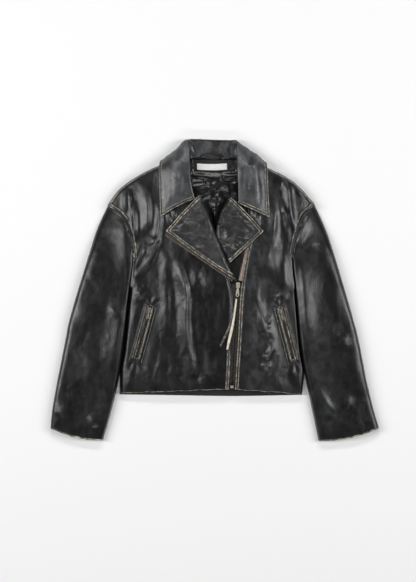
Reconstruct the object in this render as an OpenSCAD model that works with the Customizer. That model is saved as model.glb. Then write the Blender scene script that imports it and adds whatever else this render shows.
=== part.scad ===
// Cropped leather jacket with an asymmetric front zip, lying flat on its back.
// +X is the wearer's left, +Y runs from hem to collar, +Z out of the front. Millimetres.
// Outlines of the two halves are written for the wearer's right (x negative) and mirrored for the left.

/* [Leather] */
// Thickness of the leather
leather_t = 1.6; // [1:0.1:2]
// Thickness of the lining
lining_t = 0.8; // [0.5:0.1:1]
// Thickness of a turned edge, two leathers sewn together
double_t = 2.4; // [2:0.1:3]
// Gap kept between pieces that are sewn or lie together
gap = 0.5; // [0.4:0.1:0.6]

/* [Loft] */
// Height of the front at the origin
crown_h = 36; // [34:1:42]
// Rise of the front from hem to collar, per millimetre
crown_slope = 0.02; // [0.01:0.005:0.03]
// Drop of the front at 230 mm to the side
crown_drop = 14; // [10:1:15]
// Radius of the rolled side and shoulder edges
edge_r = 17; // [14:1:20]
// Height of the sleeves next to the cap
sleeve_loft = 26; // [24:1:30]
// Height of the sleeves at the cuff
cuff_loft = 22; // [18:1:24]

/* [Zips] */
// Distance between neighbouring teeth of one row
tooth_pitch = 5; // [4:0.5:8]
// Width of one row of teeth
tooth_w = 2.6; // [2:0.1:3]
// Slit between the two rows, which the slider's divider passes
slit = 1.8; // [1.6:0.1:2]
// Width of one zip tape
tape_w = 11; // [10:1:12]
// Length of a pocket opening
pocket_l = 134; // [120:2:140]
// Width of one pocket welt
welt_w = 12; // [10:0.5:12]

/* [Sleeves] */
// Radius of the joint between cap and sleeve
arm_r = 74; // [73:1:75]
// Depth of the leather turned inside the cuff
cuff_facing_h = 38; // [25:1:45]

/* [Hidden] */

RIGHT = 0;
LEFT = 1;

// Outlines, hand-chosen points. The first index is RIGHT or LEFT.
SIDE_SEAM = [
    [[-228, -246], [-225, -190], [-217, -143], [-204, -23], [-193, 62]],
    [[-211, -248], [-214, -195], [-205, -143], [-193, -23], [-184, 60]]
];
ARMHOLE = [
    [[-193, 62], [-194, 100], [-203, 143], [-222, 180], [-258, 205]],
    [[-184, 60], [-188, 100], [-199, 143], [-214, 182], [-243, 206]]
];
SHOULDER = [
    [[-258, 205], [-227, 246], [-179, 279], [-125, 304], [-71, 318]],
    [[-243, 206], [-208, 246], [-175, 272], [-120, 299], [-71, 318]]
];
FRONT_HEM = [
    [[-228, -246], [-107, -241], [-30, -238], [33, -236]],
    [[-211, -248], [-128, -242], [-90, -239], [-50, -236]]
];
FRONT_EDGE = [
    [[33, -236], [36, -180], [39, -120], [43, -20], [20, 82], [1, 132], [-22, 182], [-70, 238], [-71, 318]],
    [[-50, -236], [-53, -180], [-57, -120], [-63, -10], [-76, 82], [-84, 125], [-82, 175], [-77, 240], [-71, 318]]
];
BACK_HEM = [[-228, -251], [-95, -255], [49, -258], [211, -253]];
SLEEVE_OUTER = [
    [[-395, -330], [-390, -282], [-378, -215], [-359, -119], [-347, -61]],
    [[-395, -330], [-380, -282], [-364, -215], [-345, -119], [-330, -61]]
];
SLEEVE_INNER = [
    [[-268, -357], [-249, -292], [-236, -227], [-221, -143], [-208, -23]],
    [[-250, -358], [-240, -310], [-219, -203], [-209, -143], [-197, -23]]
];
CAP_OUTER = [
    [[-301, 92], [-282, 150], [-259.6, 203.8]],
    [[-287, 92], [-267, 150], [-244.6, 204.8]]
];
ARM_PIVOT = [[-262, 97], [-250, 97]];
ARC_OUT = [223.5, 225];
ARC_IN = [334, 330];

// Main zip: both ends of its closed part, in plan, and the open half on the left front
ZIP_TOP = [56, 14];
ZIP_BOTTOM = [42, -228];
CHEST_ZIP = [[-60, 24], [-69, 62], [-77, 100], [-84, 132]];

// Lapels: bottom corner, notch where the collar begins, free tip, and the rolled edge
LAPEL_B = [[48, 20], [-40, 70]];
LAPEL_G = [[-64, 206], [-64, 197]];
LAPEL_T = [[-115.5, 141.5], [-116, 141.5]];
LAPEL_ROLL = [
    [[50, 22], [22, 84], [1, 136], [-18, 184], [-37, 226]],
    [[-37, 80], [-23, 104], [-8, 136], [-17, 184], [-38, 222]]
];

// Pocket openings: top and bottom ends of the centre line
POCKET_TOP = [[-153, -38], [-156, -41]];
POCKET_BOTTOM = [[-188, -167.5], [-190, -170]];

// Collar: neck seam, fold line, and outer edge of the leaf, with heights
NECK_SEAM = [
    [-66, 214, 42], [-64, 250, 40], [-64, 285, 30], [-64, 306, 18], [-48, 318, 9], [0, 317, 7.4],
    [46, 318, 9], [62, 306, 18], [62, 285, 30], [64, 250, 40], [66, 207, 42]
];
COLLAR_FOLD = [
    [-50, 221, 46], [-57, 260, 53], [-59, 300, 52], [-59, 340, 40], [-56, 359, 26], [0, 361, 22],
    [49, 357, 26], [54, 338, 40], [54, 300, 52], [56, 260, 53], [57, 208, 46]
];
LEAF_EDGE = [
    [-129, 179, 38], [-131, 240, 39.5], [-132, 297, 37], [-123, 314, 4], [-80, 302, 0.5], [0, 298, 0.5],
    [78, 301, 0.5], [118, 310, 4], [125.5, 294, 37], [128, 240, 39.5], [131, 175, 38]
];
LEAF_CROWN = [
    [-92, 202, 52], [-94, 250, 60], [-96, 298, 59], [-95, 349, 30], [-70, 378, 6], [0, 369, 1.6],
    [60, 375, 6], [90, 344, 30], [90, 298, 59], [92, 250, 60], [94, 192, 52]
];

// Thong tails, hand-chosen points from the pull's eye down over the right front
THONG_CREAM = [
    [52.4, -20], [51.5, -28], [50, -38], [48.3, -50], [46.5, -62], [44.5, -75], [42, -88], [39, -101],
    [36, -114], [33, -127], [30, -141]
];
THONG_BLACK = [
    [51.6, -20], [50.4, -28], [48.4, -38], [46, -50], [43.2, -62], [39.5, -75], [34.6, -88], [29.4, -100],
    [24, -111.5], [19, -122], [13.5, -133]
];
thong_w = 5.5;
thong_t = 1.6;

// Heights, measured down from the outside of the front leather
tape_z = 2.2;
tape_t = 0.8;
tooth_t = 2.6;
underlap_z = 6.2;
front_lining_z = 9;
base_z = 2.4;

leather_colour = [0.13, 0.13, 0.14];
lining_colour = [0.05, 0.05, 0.06];
metal_colour = [0.72, 0.68, 0.58];
tape_colour = [0.3, 0.27, 0.25];
cream_colour = [0.85, 0.82, 0.75];

function mix(a, b, t) = a + (b - a) * t;

function clamp01(x) = min(max(x, 0), 1);

// Smooth curve through a list of points, s from 0 to 1
function spline(p, s) =
    let (n = len(p) - 1, k = min(floor(s * n), n - 1), t = s * n - k)
    let (a = p[max(k - 1, 0)], b = p[k], c = p[k + 1], d = p[min(k + 2, n)])
    0.5 * (2 * b + (c - a) * t + (2 * a - 5 * b + 4 * c - d) * t ^ 2 + (3 * b - a - 3 * c + d) * t ^ 3);

// Two lists of points that share an end point, as one
function joined(a, b) = concat(a, [for (k = [1 : len(b) - 1]) b[k]]);

// Patch between four edges: bottom and top run with u, first and last with v
function coons(bottom, top, first, last, u, v) =
    mix(spline(bottom, u), spline(top, u), v) + mix(spline(first, v), spline(last, v), u)
    - mix(mix(bottom[0], bottom[len(bottom) - 1], u), mix(top[0], top[len(top) - 1], u), v);

function reversed(p) = [for (k = [len(p) - 1 : -1 : 0]) p[k]];

// Height of the outside of the front over a point, away from the rolled edges
function crown(p) = crown_h + crown_slope * p.y - crown_drop * (p.x / 230) ^ 2;

function on_crown(p, lift) = [p.x, p.y, crown(p) + lift];

// 0 at a rolled edge, 1 from edge_r inwards
function rolled(d) = sqrt(1 - (1 - clamp01(d / edge_r)) ^ 2);

// The back rises a little towards the collar, over the turned-down leaf
back_bend_y = 265;
back_rise_slope = 0.075;
function back_rise(y) = max(0, y - back_bend_y) * back_rise_slope;

// 0 at both edges of a flattened tube, 1 over most of its width
function flat_tube(u) = sqrt(1 - abs(2 * u - 1) ^ 2.6);

// Even steps from 0 to 1 drawn closer together at both ends
function eased(u) = 0.5 - 0.5 * cos(180 * u);

function quad(a, b, c, d) = [[a, b, c], [a, c, d]];

// Closed solid of thickness t under the surface f(u, v)
module sheet(f, nu, nv, t) {
    e = 0.002;
    normal = function (u, v)
        let (a = f(min(u + e, 1), v) - f(max(u - e, 0), v), b = f(u, min(v + e, 1)) - f(u, max(v - e, 0)))
        let (c = cross(a, b)) c / norm(c);
    high = [for (j = [0 : nv], i = [0 : nu]) f(i / nu, j / nv)];
    low = [for (j = [0 : nv], i = [0 : nu]) f(i / nu, j / nv) - t * normal(i / nu, j / nv)];
    n = len(high);
    row = nu + 1;
    top = [for (j = [0 : nv - 1], i = [0 : nu - 1]) let (k = j * row + i)
        each quad(k, k + row, k + row + 1, k + 1)];
    bottom = [for (j = [0 : nv - 1], i = [0 : nu - 1]) let (k = n + j * row + i)
        each quad(k, k + 1, k + row + 1, k + row)];
    front = [for (i = [0 : nu - 1]) each quad(n + i, i, i + 1, n + i + 1)];
    back = [for (i = [0 : nu - 1]) let (k = nv * row + i) each quad(n + k, n + k + 1, k + 1, k)];
    first = [for (j = [0 : nv - 1]) let (k = j * row) each quad(n + k, n + k + row, k + row, k)];
    last = [for (j = [0 : nv - 1]) let (k = j * row + nu) each quad(n + k, k, k + row, n + k + row)];
    polyhedron(concat(high, low), concat(top, bottom, front, back, first, last));
}

// Tube along a path, an ellipse rx wide and rz high in section
module tube(path, rx, rz, sides) {
    last = len(path) - 1;
    rings = [for (k = [0 : last])
        let (t = path[min(k + 1, last)] - path[max(k - 1, 0)])
        let (across = cross(t, [0, 0, 1]) / norm(cross(t, [0, 0, 1])), up = cross(across, t / norm(t)))
        for (s = [0 : sides - 1]) path[k] + rx * cos(360 * s / sides) * across + rz * sin(360 * s / sides) * up];
    skin = [for (k = [0 : last - 1], s = [0 : sides - 1])
        let (a = k * sides + s, b = k * sides + (s + 1) % sides)
        each quad(a, a + sides, b + sides, b)];
    start = [[for (s = [0 : sides - 1]) s]];
    end = [[for (s = [sides - 1 : -1 : 0]) last * sides + s]];
    polyhedron(rings, concat(skin, start, end));
}

// The wearer's left half is drawn mirrored
module half(k) {
    if (k == LEFT) mirror([1, 0, 0]) children();
    if (k == RIGHT) children();
}

// Outline of the torso from hem to neck, wearer's right then left, drawn in by inset
function torso_half(k, inset) =
    let (side = joined(SIDE_SEAM[k], ARMHOLE[k]), steps = [24, 14])
    [for (s = [0 : steps[0]]) let (q = spline(side, s / steps[0])) [q.x + inset, q.y],
        for (s = [1 : steps[1]]) let (q = spline(SHOULDER[k], s / steps[1])) [q.x + inset, q.y]];
function mirrored(p) = [for (q = p) [-q.x, q.y]];

module torso_outline(inset) {
    hem = [for (s = [0 : 12]) spline(BACK_HEM, s / 12) + [0, inset]];
    neck = [for (s = [0 : 12]) let (q = spline(NECK_SEAM, 0.4 + 0.2 * s / 12)) [q.x, q.y]];
    polygon(concat(torso_half(RIGHT, inset), neck, reversed(mirrored(torso_half(LEFT, inset))), reversed(hem)));
}

// Strip between heights z0 and z1 that bends up towards the collar, wider than the jacket
module bent_strip(z0, z1) {
    start = -300;
    end = 400;
    rise = (end - back_bend_y) * back_rise_slope;
    translate([-300, 0, 0]) rotate([90, 0, 90]) linear_extrude(600) polygon([
        [start, z0], [back_bend_y, z0], [end, z0 + rise], [end, z1 + rise], [back_bend_y, z1], [start, z1]]);
}

module back_panel() {
    color(leather_colour) intersection() {
        bent_strip(0, leather_t);
        translate([0, 0, -10]) linear_extrude(60) torso_outline(0);
    }
}

module hem_facing_back() {
    facing_h = 36;
    color(leather_colour) translate([0, 0, leather_t + 0.3]) linear_extrude(0.9) difference() {
        intersection() {
            torso_outline(2);
            translate([-300, -260]) square([600, facing_h]);
        }
        translate([-300, -260 + facing_h]) square([600, facing_h]);
    }
}

module back_lining() {
    lining_y = -222;
    color(lining_colour) intersection() {
        bent_strip(leather_t + 0.3, leather_t + 0.3 + lining_t);
        translate([0, 0, -10]) linear_extrude(60) difference() {
            torso_outline(9);
            translate([-300, lining_y - 600]) square([600, 600]);
        }
    }
}

// Outside of a front panel; drop lowers it, for the layers under the leather
function front(k, u, v, drop) =
    let (w = u ^ 1.8, h = 1 - (1 - v) ^ 1.6)
    let (p = coons(FRONT_HEM[k], SHOULDER[k], joined(SIDE_SEAM[k], ARMHOLE[k]), FRONT_EDGE[k], w, h))
    let (from_side = w * 260 + max(0, h - 0.48) * 450, from_shoulder = (1 - h) * 450)
    let (base = base_z + back_rise(p.y))
    [p.x, p.y, base + (crown(p) - base) * rolled(from_side) * rolled(from_shoulder) - drop];

// Frame at a zip's top end: y points back up along the zip, z out of the leather
module along_zip(top, bottom) {
    a = on_crown(top, 0);
    b = on_crown(bottom, 0);
    d = a - b;
    slope = -2 * crown_drop * mix(a, b, 0.5).x / 230 ^ 2;
    translate(a) rotate([atan2(d.z, norm([d.x, d.y])), 0, -atan2(d.x, d.y)]) rotate([0, -atan(slope), 0]) children();
}

module front_panel(k) {
    slot_w = 17;
    color(leather_colour) half(k) difference() {
        sheet(function (u, v) front(k, u, v, 0), 10, 14, leather_t);
        along_zip(POCKET_TOP[k], POCKET_BOTTOM[k])
            translate([-slot_w / 2, -pocket_l + 1, -10]) cube([slot_w, pocket_l - 2, 20]);
    }
}

module front_lining(k) {
    color(lining_colour) half(k)
        sheet(function (u, v) front(k, mix(0.28, 0.93, u), mix(0.1, 0.8, v), front_lining_z), 8, 10, lining_t);
}

module hem_facing(k) {
    drop = leather_t + gap;
    color(leather_colour) half(k)
        sheet(function (u, v) front(k, mix(0.3, 0.93, u), mix(0.0, 0.06, v), drop), 8, 2, 1);
}

module underlap_panel() {
    inner = [[-12, -236], [2, -60], [14, 60], [8, 150], [38, 214]];
    outer = [[66, -236], [78, -60], [88, 60], [92, 150], [86, 208]];
    color(leather_colour) sheet(
        function (u, v) on_crown(mix(spline(inner, v), spline(outer, v), u), -underlap_z), 3, 10, leather_t);
}

// Curves of the collar; bow pulls the middle of each strip out to the crown curve
module collar_leaf() {
    color(leather_colour) sheet(
        function (u, v)
            let (a = spline(LEAF_EDGE, u), c = spline(LEAF_CROWN, u), b = spline(COLLAR_FOLD, u))
            mix(mix(a, c, v), mix(c, b, v), v),
        36, 6, leather_t);
}

module collar_stand() {
    inner = 3.2;
    color(leather_colour) sheet(
        function (u, v)
            let (a = spline(NECK_SEAM, u), b = spline(COLLAR_FOLD, u) - [0, 0, inner])
            mix(a, b, 0.04 + 0.88 * v),
        32, 3, leather_t);
}

neck_lift = leather_t + 0.3 + lining_t + 0.4;

module neck_facing() {
    color(leather_colour) intersection() {
        bent_strip(neck_lift, neck_lift + 0.8);
        translate([0, 0, -10]) linear_extrude(60) difference() {
            translate([-46, 286]) square([92, 24]);
            translate([0, 268]) circle(r = 22);
        }
    }
}

module neck_label() {
    color("white") intersection() {
        bent_strip(neck_lift + 1.1, neck_lift + 1.7);
        translate([-42, 290, -10]) cube([72, 15, 60]);
    }
}

module hanger_loop() {
    loop_r = 27;
    color(lining_colour) translate([-7, 309, 10.5]) rotate([42, 0, 0]) translate([0, -17, 0])
        rotate_extrude(angle = 100, start = 40, $fn = 48) translate([loop_r, 0]) circle(r = 1.8, $fn = 24);
}

lapel_lift = 3.6;
flap_gap = 2;

// The part of a lapel between its rolled edge and the line that the flap bends on
module lapel_base(k) {
    bend = [LAPEL_B[k], LAPEL_G[k]];
    away = [0.85, 0.5] * flap_gap;
    color(leather_colour) half(k) sheet(
        function (u, v)
            on_crown(mix(mix(bend[0], bend[1], mix(0.06, 0.98, v)) + away, spline(LAPEL_ROLL[k], mix(0.06, 1, v)), u),
                lapel_lift),
        4, 8, double_t);
}

// The free corner of a lapel; the right one leaves room for the zip along its lower edge
module lapel_flap(k) {
    away = [-0.85, -0.5] * flap_gap;
    trim = k == RIGHT ? [5, 7.5] : [0, 0];
    b = mix(LAPEL_B[k], LAPEL_G[k], k == RIGHT ? 0.11 : 0) + away;
    g = LAPEL_G[k] + away;
    t = LAPEL_T[k] + trim;
    color(leather_colour) half(k) sheet(
        function (u, v) on_crown(mix(mix(b, t, v), mix(mix(b, g, 0.05), g, v), u), lapel_lift), 5, 8, double_t);
}

// Open half of the main zip along the right lapel's lower edge
module lapel_zip() {
    a = LAPEL_B[RIGHT] + [-6, 2];
    b = LAPEL_T[RIGHT] + [0.5, 0.5];
    across = [0.57, 0.82];
    count = 36;
    color(tape_colour) sheet(
        function (u, v) on_crown(mix(b, a, u) + across * mix(2.8, 7.4, v), lapel_lift - 0.8), 10, 1, tape_t);
    color(metal_colour) for (k = [0 : count]) translate(on_crown(mix(b, a, k / count), lapel_lift - 2.4))
        rotate([0, 0, -35]) translate([-1.3, 0, 0]) cube([2.6, tooth_w, 2.4]);
}

// Open half of the main zip on the left front, above the slider
module chest_zip() {
    count = 22;
    color(tape_colour) half(LEFT) sheet(
        function (u, v) on_crown(spline(CHEST_ZIP, v) + [mix(-3.2, 6, u), 0], -tape_z), 1, 8, tape_t);
    color(metal_colour) half(LEFT) for (k = [0 : count])
        translate(on_crown(spline(CHEST_ZIP, k / count) + [6.4, 0], -tape_z - 1.2))
            rotate([0, 0, 12]) cube([tooth_w, 2.6, tooth_t]);
}

zip_len = norm(on_crown(ZIP_TOP, 0) - on_crown(ZIP_BOTTOM, 0));

// Two tapes of a closed zip, length l down from its top end, with the slit between them
module tapes(l, width) {
    for (s = [-1, 1]) translate([s > 0 ? slit / 2 + tooth_w + 0.3 : -slit / 2 - tooth_w - 0.3 - width, -l, -tape_z - tape_t])
        cube([width, l, tape_t]);
}

// One row of teeth on side s, length l
module teeth(l, s) {
    for (k = [0 : floor(l / tooth_pitch) - 1])
        translate([s > 0 ? slit / 2 : -slit / 2 - tooth_w, -tooth_pitch * (k + 0.8) + (s > 0 ? tooth_pitch / 2 : 0),
            -tape_z - tape_t / 2 - tooth_t / 2])
            cube([tooth_w, tooth_pitch * 0.42, tooth_t]);
}

module zip_tapes() {
    color(tape_colour) along_zip(ZIP_TOP, ZIP_BOTTOM) tapes(zip_len, tape_w);
}

module zip_teeth(s) {
    color(metal_colour) along_zip(ZIP_TOP, ZIP_BOTTOM) teeth(zip_len - 6, s);
}

module zip_bottom_stop() {
    color(metal_colour) along_zip(ZIP_TOP, ZIP_BOTTOM)
        translate([-3.5, -zip_len - 5, -tape_z - tape_t / 2 - 1.6]) cube([7, 5.5, 3.2]);
}

// Slider: a top plate, a bottom plate, and the divider that joins them through the slit
slider_clear = 0.45;
module slider_body(width, l) {
    mid = -tape_z - tape_t / 2;
    top = mid + tooth_t / 2 + slider_clear;
    low = mid - tooth_t / 2 - slider_clear;
    plate = 1.1;
    for (z = [top, low - plate]) translate([0, 0, z]) linear_extrude(plate) hull() {
        translate([-width / 2, 2]) square([width, l - 4]);
        translate([-width / 3, 0]) square([width / 1.5, l]);
    }
    translate([-slit / 2 + 0.4, l / 2 - 1, low - 0.01]) cube([slit - 0.8, l / 2 - 1, top - low + 0.02]);
    for (s = [-1, 1]) translate([s * 1.9 - 0.5, l / 2 - 3.5, top + plate - 0.01]) cube([1, 7, 2.6]);
}

// Pin hole line of a pull, above the slider's top plate
pull_y = 5.8;
pull_z = -tape_z - tape_t / 2 + tooth_t / 2 + slider_clear + 1.1 + 1.5;

// Pull: a tab with an eye, hanging from a bar between the slider's cheeks
module pull(l, width) {
    translate([-1.1, pull_y, pull_z]) rotate([0, 90, 0]) cylinder(h = 2.2, r = 0.8, $fn = 24);
    translate([0, pull_y - 1, pull_z - 0.8]) linear_extrude(1.4) difference() {
        union() {
            translate([-1, -7]) square([2, 8]);
            hull() {
                translate([0, -7.5]) circle(d = width * 0.6, $fn = 32);
                translate([0, -l]) circle(d = width, $fn = 32);
            }
        }
        translate([0, -l]) circle(d = width * 0.5, $fn = 32);
    }
}

module main_slider() {
    color(metal_colour) along_zip(ZIP_TOP, ZIP_BOTTOM) translate([0, -8, 0]) slider_body(9.5, 13);
}

module main_pull() {
    color(metal_colour) along_zip(ZIP_TOP, ZIP_BOTTOM) translate([0, -8, 0]) pull(21, 9);
}

thong_lift = 1.9;
module thong_cream() {
    color(cream_colour) tube([for (p = THONG_CREAM) on_crown(p, thong_lift + 1.9)], thong_w / 2, thong_t / 2, 8);
}

module thong_black() {
    color(leather_colour) tube([for (p = THONG_BLACK) on_crown(p, thong_lift)], thong_w / 2, thong_t / 2, 8);
}

module pocket_zip_frame(k) {
    half(k) along_zip(POCKET_TOP[k], POCKET_BOTTOM[k]) children();
}

module pocket_welts(k) {
    inner_x = 4.4;
    welt_t = 1.4;
    color(leather_colour) pocket_zip_frame(k) difference() {
        translate([-inner_x - welt_w, -pocket_l - 3, 0.5]) cube([2 * (inner_x + welt_w), pocket_l + 6, welt_t]);
        translate([-inner_x, -pocket_l - 10, 0]) cube([2 * inner_x, pocket_l + 20, 3]);
    }
}

module pocket_tapes(k) {
    color(tape_colour) pocket_zip_frame(k) translate([0, -3, 0]) tapes(pocket_l - 8, 4);
}

module pocket_teeth(k) {
    color(metal_colour) pocket_zip_frame(k) {
        translate([0, -4, 0]) for (s = [-1, 1]) teeth(pocket_l - 12, s);
        translate([-3, -pocket_l + 3, -tape_z - 1.6]) cube([6, 3.4, 3.2]);
    }
}

pocket_slider_y = -14;
module pocket_slider(k) {
    color(metal_colour) pocket_zip_frame(k) translate([0, pocket_slider_y, 0]) slider_body(7.6, 10.5);
}

module pocket_pull(k) {
    color(metal_colour) pocket_zip_frame(k) translate([0, pocket_slider_y, 0]) pull(19, 5.6);
}

// Bag behind the pocket opening, a flat closed pouch between leather and lining
module pocket_bag(k) {
    bag_t = 1.6;
    color(lining_colour) pocket_zip_frame(k)
        translate([-10, -pocket_l - 3, -6.6 - bag_t]) linear_extrude(bag_t) hull() {
            square([34, 8]);
            translate([0, 110]) square([50, 24]);
            translate([30, 20]) square([46, 40]);
        }
}

module armhole_seam(k) {
    steps = 14;
    color(leather_colour) half(k)
        tube([for (s = [0 : steps]) let (p = spline(ARMHOLE[k], mix(0.12, 0.86, s / steps))) on_crown(p, 2.4)],
            1.8, 1.2, 8);
}

function arc_point(k, r, s) =
    let (a = mix(ARC_OUT[k], ARC_IN[k], s)) ARM_PIVOT[k] + r * [cos(a), sin(a)];

function arc(k, r) = [for (s = [0 : 10]) arc_point(k, r, s / 10)];

// Edges of the sleeve's cap and of the sleeve below it, meeting on one arc
function cap_outer(k) = concat([arc_point(k, arm_r, 0)], CAP_OUTER[k]);
underarm_corner = [-3.5, 4];
function cap_inner(k) = [arc_point(k, arm_r, 1), ARMHOLE[k][0] + underarm_corner];
function armhole_out(k) = [for (j = [4 : -1 : 0]) ARMHOLE[k][j] + (j == 0 ? underarm_corner : [-1.6, -1.2])];
joint_gap = 1.6;
function arm_outer(k) = concat(SLEEVE_OUTER[k], [arc_point(k, arm_r + joint_gap, 0)]);
function arm_inner(k) = concat(SLEEVE_INNER[k], [arc_point(k, arm_r + joint_gap, 1)]);
function cuff_line(k) = [SLEEVE_OUTER[k][0], mix(SLEEVE_OUTER[k][0], SLEEVE_INNER[k][0], 0.5) - [2, 6], SLEEVE_INNER[k][0]];

top_base = 2.2;

module sleeve_cap(k) {
    color(leather_colour) half(k) sheet(
        function (u, v)
            let (w = eased(u), p = coons(arc(k, arm_r), armhole_out(k), cap_outer(k), cap_inner(k), w, v))
            [p.x, p.y, top_base + (mix(sleeve_loft, crown(p), v) - top_base) * flat_tube(w)],
        10, 6, leather_t);
}

module sleeve_cap_under(k) {
    inset = 3;
    steps = 16;
    color(leather_colour) half(k) linear_extrude(1.4) offset(delta = -0.6) polygon(concat(
        arc(k, arm_r),
        [for (s = [0 : steps]) spline(reversed(armhole_out(k)), s / steps)],
        [for (s = [0 : steps]) spline(cap_outer(k), 1 - s / steps) + [inset * s / steps, 0]]));
}

// Surface of a sleeve; drop and edge bring the lining inside the leather
function arm(k, u, v, drop, edge) =
    let (w = mix(edge, 1 - edge, eased(u)))
    let (p = coons(cuff_line(k), arc(k, arm_r + joint_gap), arm_outer(k), arm_inner(k), w, v))
    [p.x, p.y, top_base + (mix(cuff_loft, sleeve_loft, v) - drop - top_base) * flat_tube(eased(u))];

module sleeve_top(k) {
    color(leather_colour) half(k) sheet(function (u, v) arm(k, u, v, 0, 0), 10, 10, leather_t);
}

module arm_outline(k, v0, v1, inset) {
    steps = 20;
    polygon(concat(
        [for (s = [0 : steps]) spline(arm_outer(k), mix(v0, v1, s / steps)) + [inset, 0]],
        v1 < 1 ? [] : [for (s = [1 : 9]) arc_point(k, arm_r + joint_gap, s / 10)],
        [for (s = [0 : steps]) spline(arm_inner(k), mix(v1, v0, s / steps)) - [inset, 0]]));
}

module sleeve_under(k) {
    color(leather_colour) half(k) linear_extrude(1.4) arm_outline(k, 0, 1, 2.5);
}

module sleeve_lining(k) {
    v0 = 0.1;
    color(lining_colour) half(k) {
        sheet(function (u, v) arm(k, u, mix(v0, 0.97, v), 2.8, 0.045), 10, 8, 0.7);
        translate([0, 0, 1.8]) linear_extrude(0.4) arm_outline(k, v0, 0.88, 12);
    }
}

module cuff_facing(k) {
    v1 = cuff_facing_h / 440;
    color(leather_colour) half(k) {
        sheet(function (u, v) arm(k, u, mix(0.004, v1, v), 2.4, 0.03), 10, 2, 1);
        translate([0, 0, 1.7]) linear_extrude(0.4) arm_outline(k, 0.004, v1, 10);
    }
}

back_panel();
front_panel(RIGHT);  // front_panel_right
front_panel(LEFT);  // front_panel_left
underlap_panel();
back_lining();
front_lining(RIGHT);  // front_lining_right
front_lining(LEFT);  // front_lining_left
hem_facing_back();
hem_facing(RIGHT);  // hem_facing_right
hem_facing(LEFT);  // hem_facing_left
collar_leaf();
collar_stand();
neck_facing();
neck_label();
hanger_loop();
lapel_base(RIGHT);  // lapel_base_right
lapel_flap(RIGHT);  // lapel_flap_right
lapel_base(LEFT);  // lapel_base_left
lapel_flap(LEFT);  // lapel_flap_left
armhole_seam(RIGHT);  // armhole_seam_right
armhole_seam(LEFT);  // armhole_seam_left
sleeve_cap(RIGHT);  // sleeve_cap_right
sleeve_cap_under(RIGHT);  // sleeve_cap_under_right
sleeve_cap(LEFT);  // sleeve_cap_left
sleeve_cap_under(LEFT);  // sleeve_cap_under_left
sleeve_top(RIGHT);  // sleeve_top_right
sleeve_under(RIGHT);  // sleeve_under_right
sleeve_lining(RIGHT);  // sleeve_lining_right
cuff_facing(RIGHT);  // cuff_facing_right
sleeve_top(LEFT);  // sleeve_top_left
sleeve_under(LEFT);  // sleeve_under_left
sleeve_lining(LEFT);  // sleeve_lining_left
cuff_facing(LEFT);  // cuff_facing_left
pocket_welts(RIGHT);  // pocket_welts_right
pocket_welts(LEFT);  // pocket_welts_left
pocket_bag(RIGHT);  // pocket_bag_right
pocket_bag(LEFT);  // pocket_bag_left
pocket_tapes(RIGHT);  // pocket_tapes_right
pocket_tapes(LEFT);  // pocket_tapes_left
pocket_teeth(RIGHT);  // pocket_teeth_right
pocket_teeth(LEFT);  // pocket_teeth_left
pocket_slider(RIGHT);  // pocket_slider_right
pocket_slider(LEFT);  // pocket_slider_left
pocket_pull(RIGHT);  // pocket_pull_right
pocket_pull(LEFT);  // pocket_pull_left
zip_tapes();
zip_teeth(-1);  // zip_teeth_right
zip_teeth(1);  // zip_teeth_left
zip_bottom_stop();
lapel_zip();
chest_zip();
main_slider();
main_pull();
thong_cream();
thong_black();
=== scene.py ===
"""Cropped leather jacket with an asymmetric zip, lying flat on its back.

Lengths are millimetres until new_object makes metres of them: +X is the wearer's left, +Y runs from hem to
collar, +Z out of the front. Outlines of the two halves are written for the wearer's right (x negative) and
mirrored for the left.
"""

import math

import bmesh
import bpy
import numpy as np
from mathutils import Matrix, Vector


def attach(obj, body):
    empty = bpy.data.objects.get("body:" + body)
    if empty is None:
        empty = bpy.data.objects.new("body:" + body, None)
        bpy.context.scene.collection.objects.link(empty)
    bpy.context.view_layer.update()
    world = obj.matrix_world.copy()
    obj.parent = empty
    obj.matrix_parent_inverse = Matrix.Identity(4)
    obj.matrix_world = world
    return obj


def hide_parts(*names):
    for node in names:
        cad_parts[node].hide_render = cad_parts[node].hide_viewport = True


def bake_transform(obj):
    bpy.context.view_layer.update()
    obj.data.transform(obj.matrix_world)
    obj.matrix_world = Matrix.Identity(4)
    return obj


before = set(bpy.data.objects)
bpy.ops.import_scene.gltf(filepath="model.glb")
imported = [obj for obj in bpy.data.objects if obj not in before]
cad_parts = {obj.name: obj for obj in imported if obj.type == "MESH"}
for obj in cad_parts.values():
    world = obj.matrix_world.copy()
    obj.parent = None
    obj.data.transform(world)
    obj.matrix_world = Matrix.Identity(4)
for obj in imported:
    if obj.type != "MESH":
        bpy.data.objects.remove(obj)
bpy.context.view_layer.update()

MM = 0.001
RIGHT, LEFT = 0, 1
SIDE_NAME = ("right", "left")

# ---------------------------------------------------------------- outlines, as in the CAD part

SIDE_SEAM = (
    [[-228, -246], [-225, -190], [-217, -143], [-204, -23], [-193, 62]],
    [[-211, -248], [-214, -195], [-205, -143], [-193, -23], [-184, 60]],
)
ARMHOLE = (
    [[-193, 62], [-194, 100], [-203, 143], [-222, 180], [-258, 205]],
    [[-184, 60], [-188, 100], [-199, 143], [-214, 182], [-243, 206]],
)
SHOULDER = (
    [[-258, 205], [-227, 246], [-179, 279], [-125, 304], [-71, 318]],
    [[-243, 206], [-208, 246], [-175, 272], [-120, 299], [-71, 318]],
)
FRONT_HEM = (
    [[-228, -246], [-107, -241], [-30, -238], [33, -236]],
    [[-211, -248], [-128, -242], [-90, -239], [-50, -236]],
)
FRONT_EDGE = (
    [[33, -236], [36, -180], [39, -120], [43, -20], [20, 82], [1, 132], [-22, 182], [-70, 238], [-71, 318]],
    [
        [-50, -236], [-53, -180], [-57, -120], [-63, -10], [-76, 82], [-84, 125], [-82, 175], [-77, 240],
        [-71, 318],
    ],
)
BACK_HEM = [[-228, -250], [-95, -252], [49, -254], [211, -251]]
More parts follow.
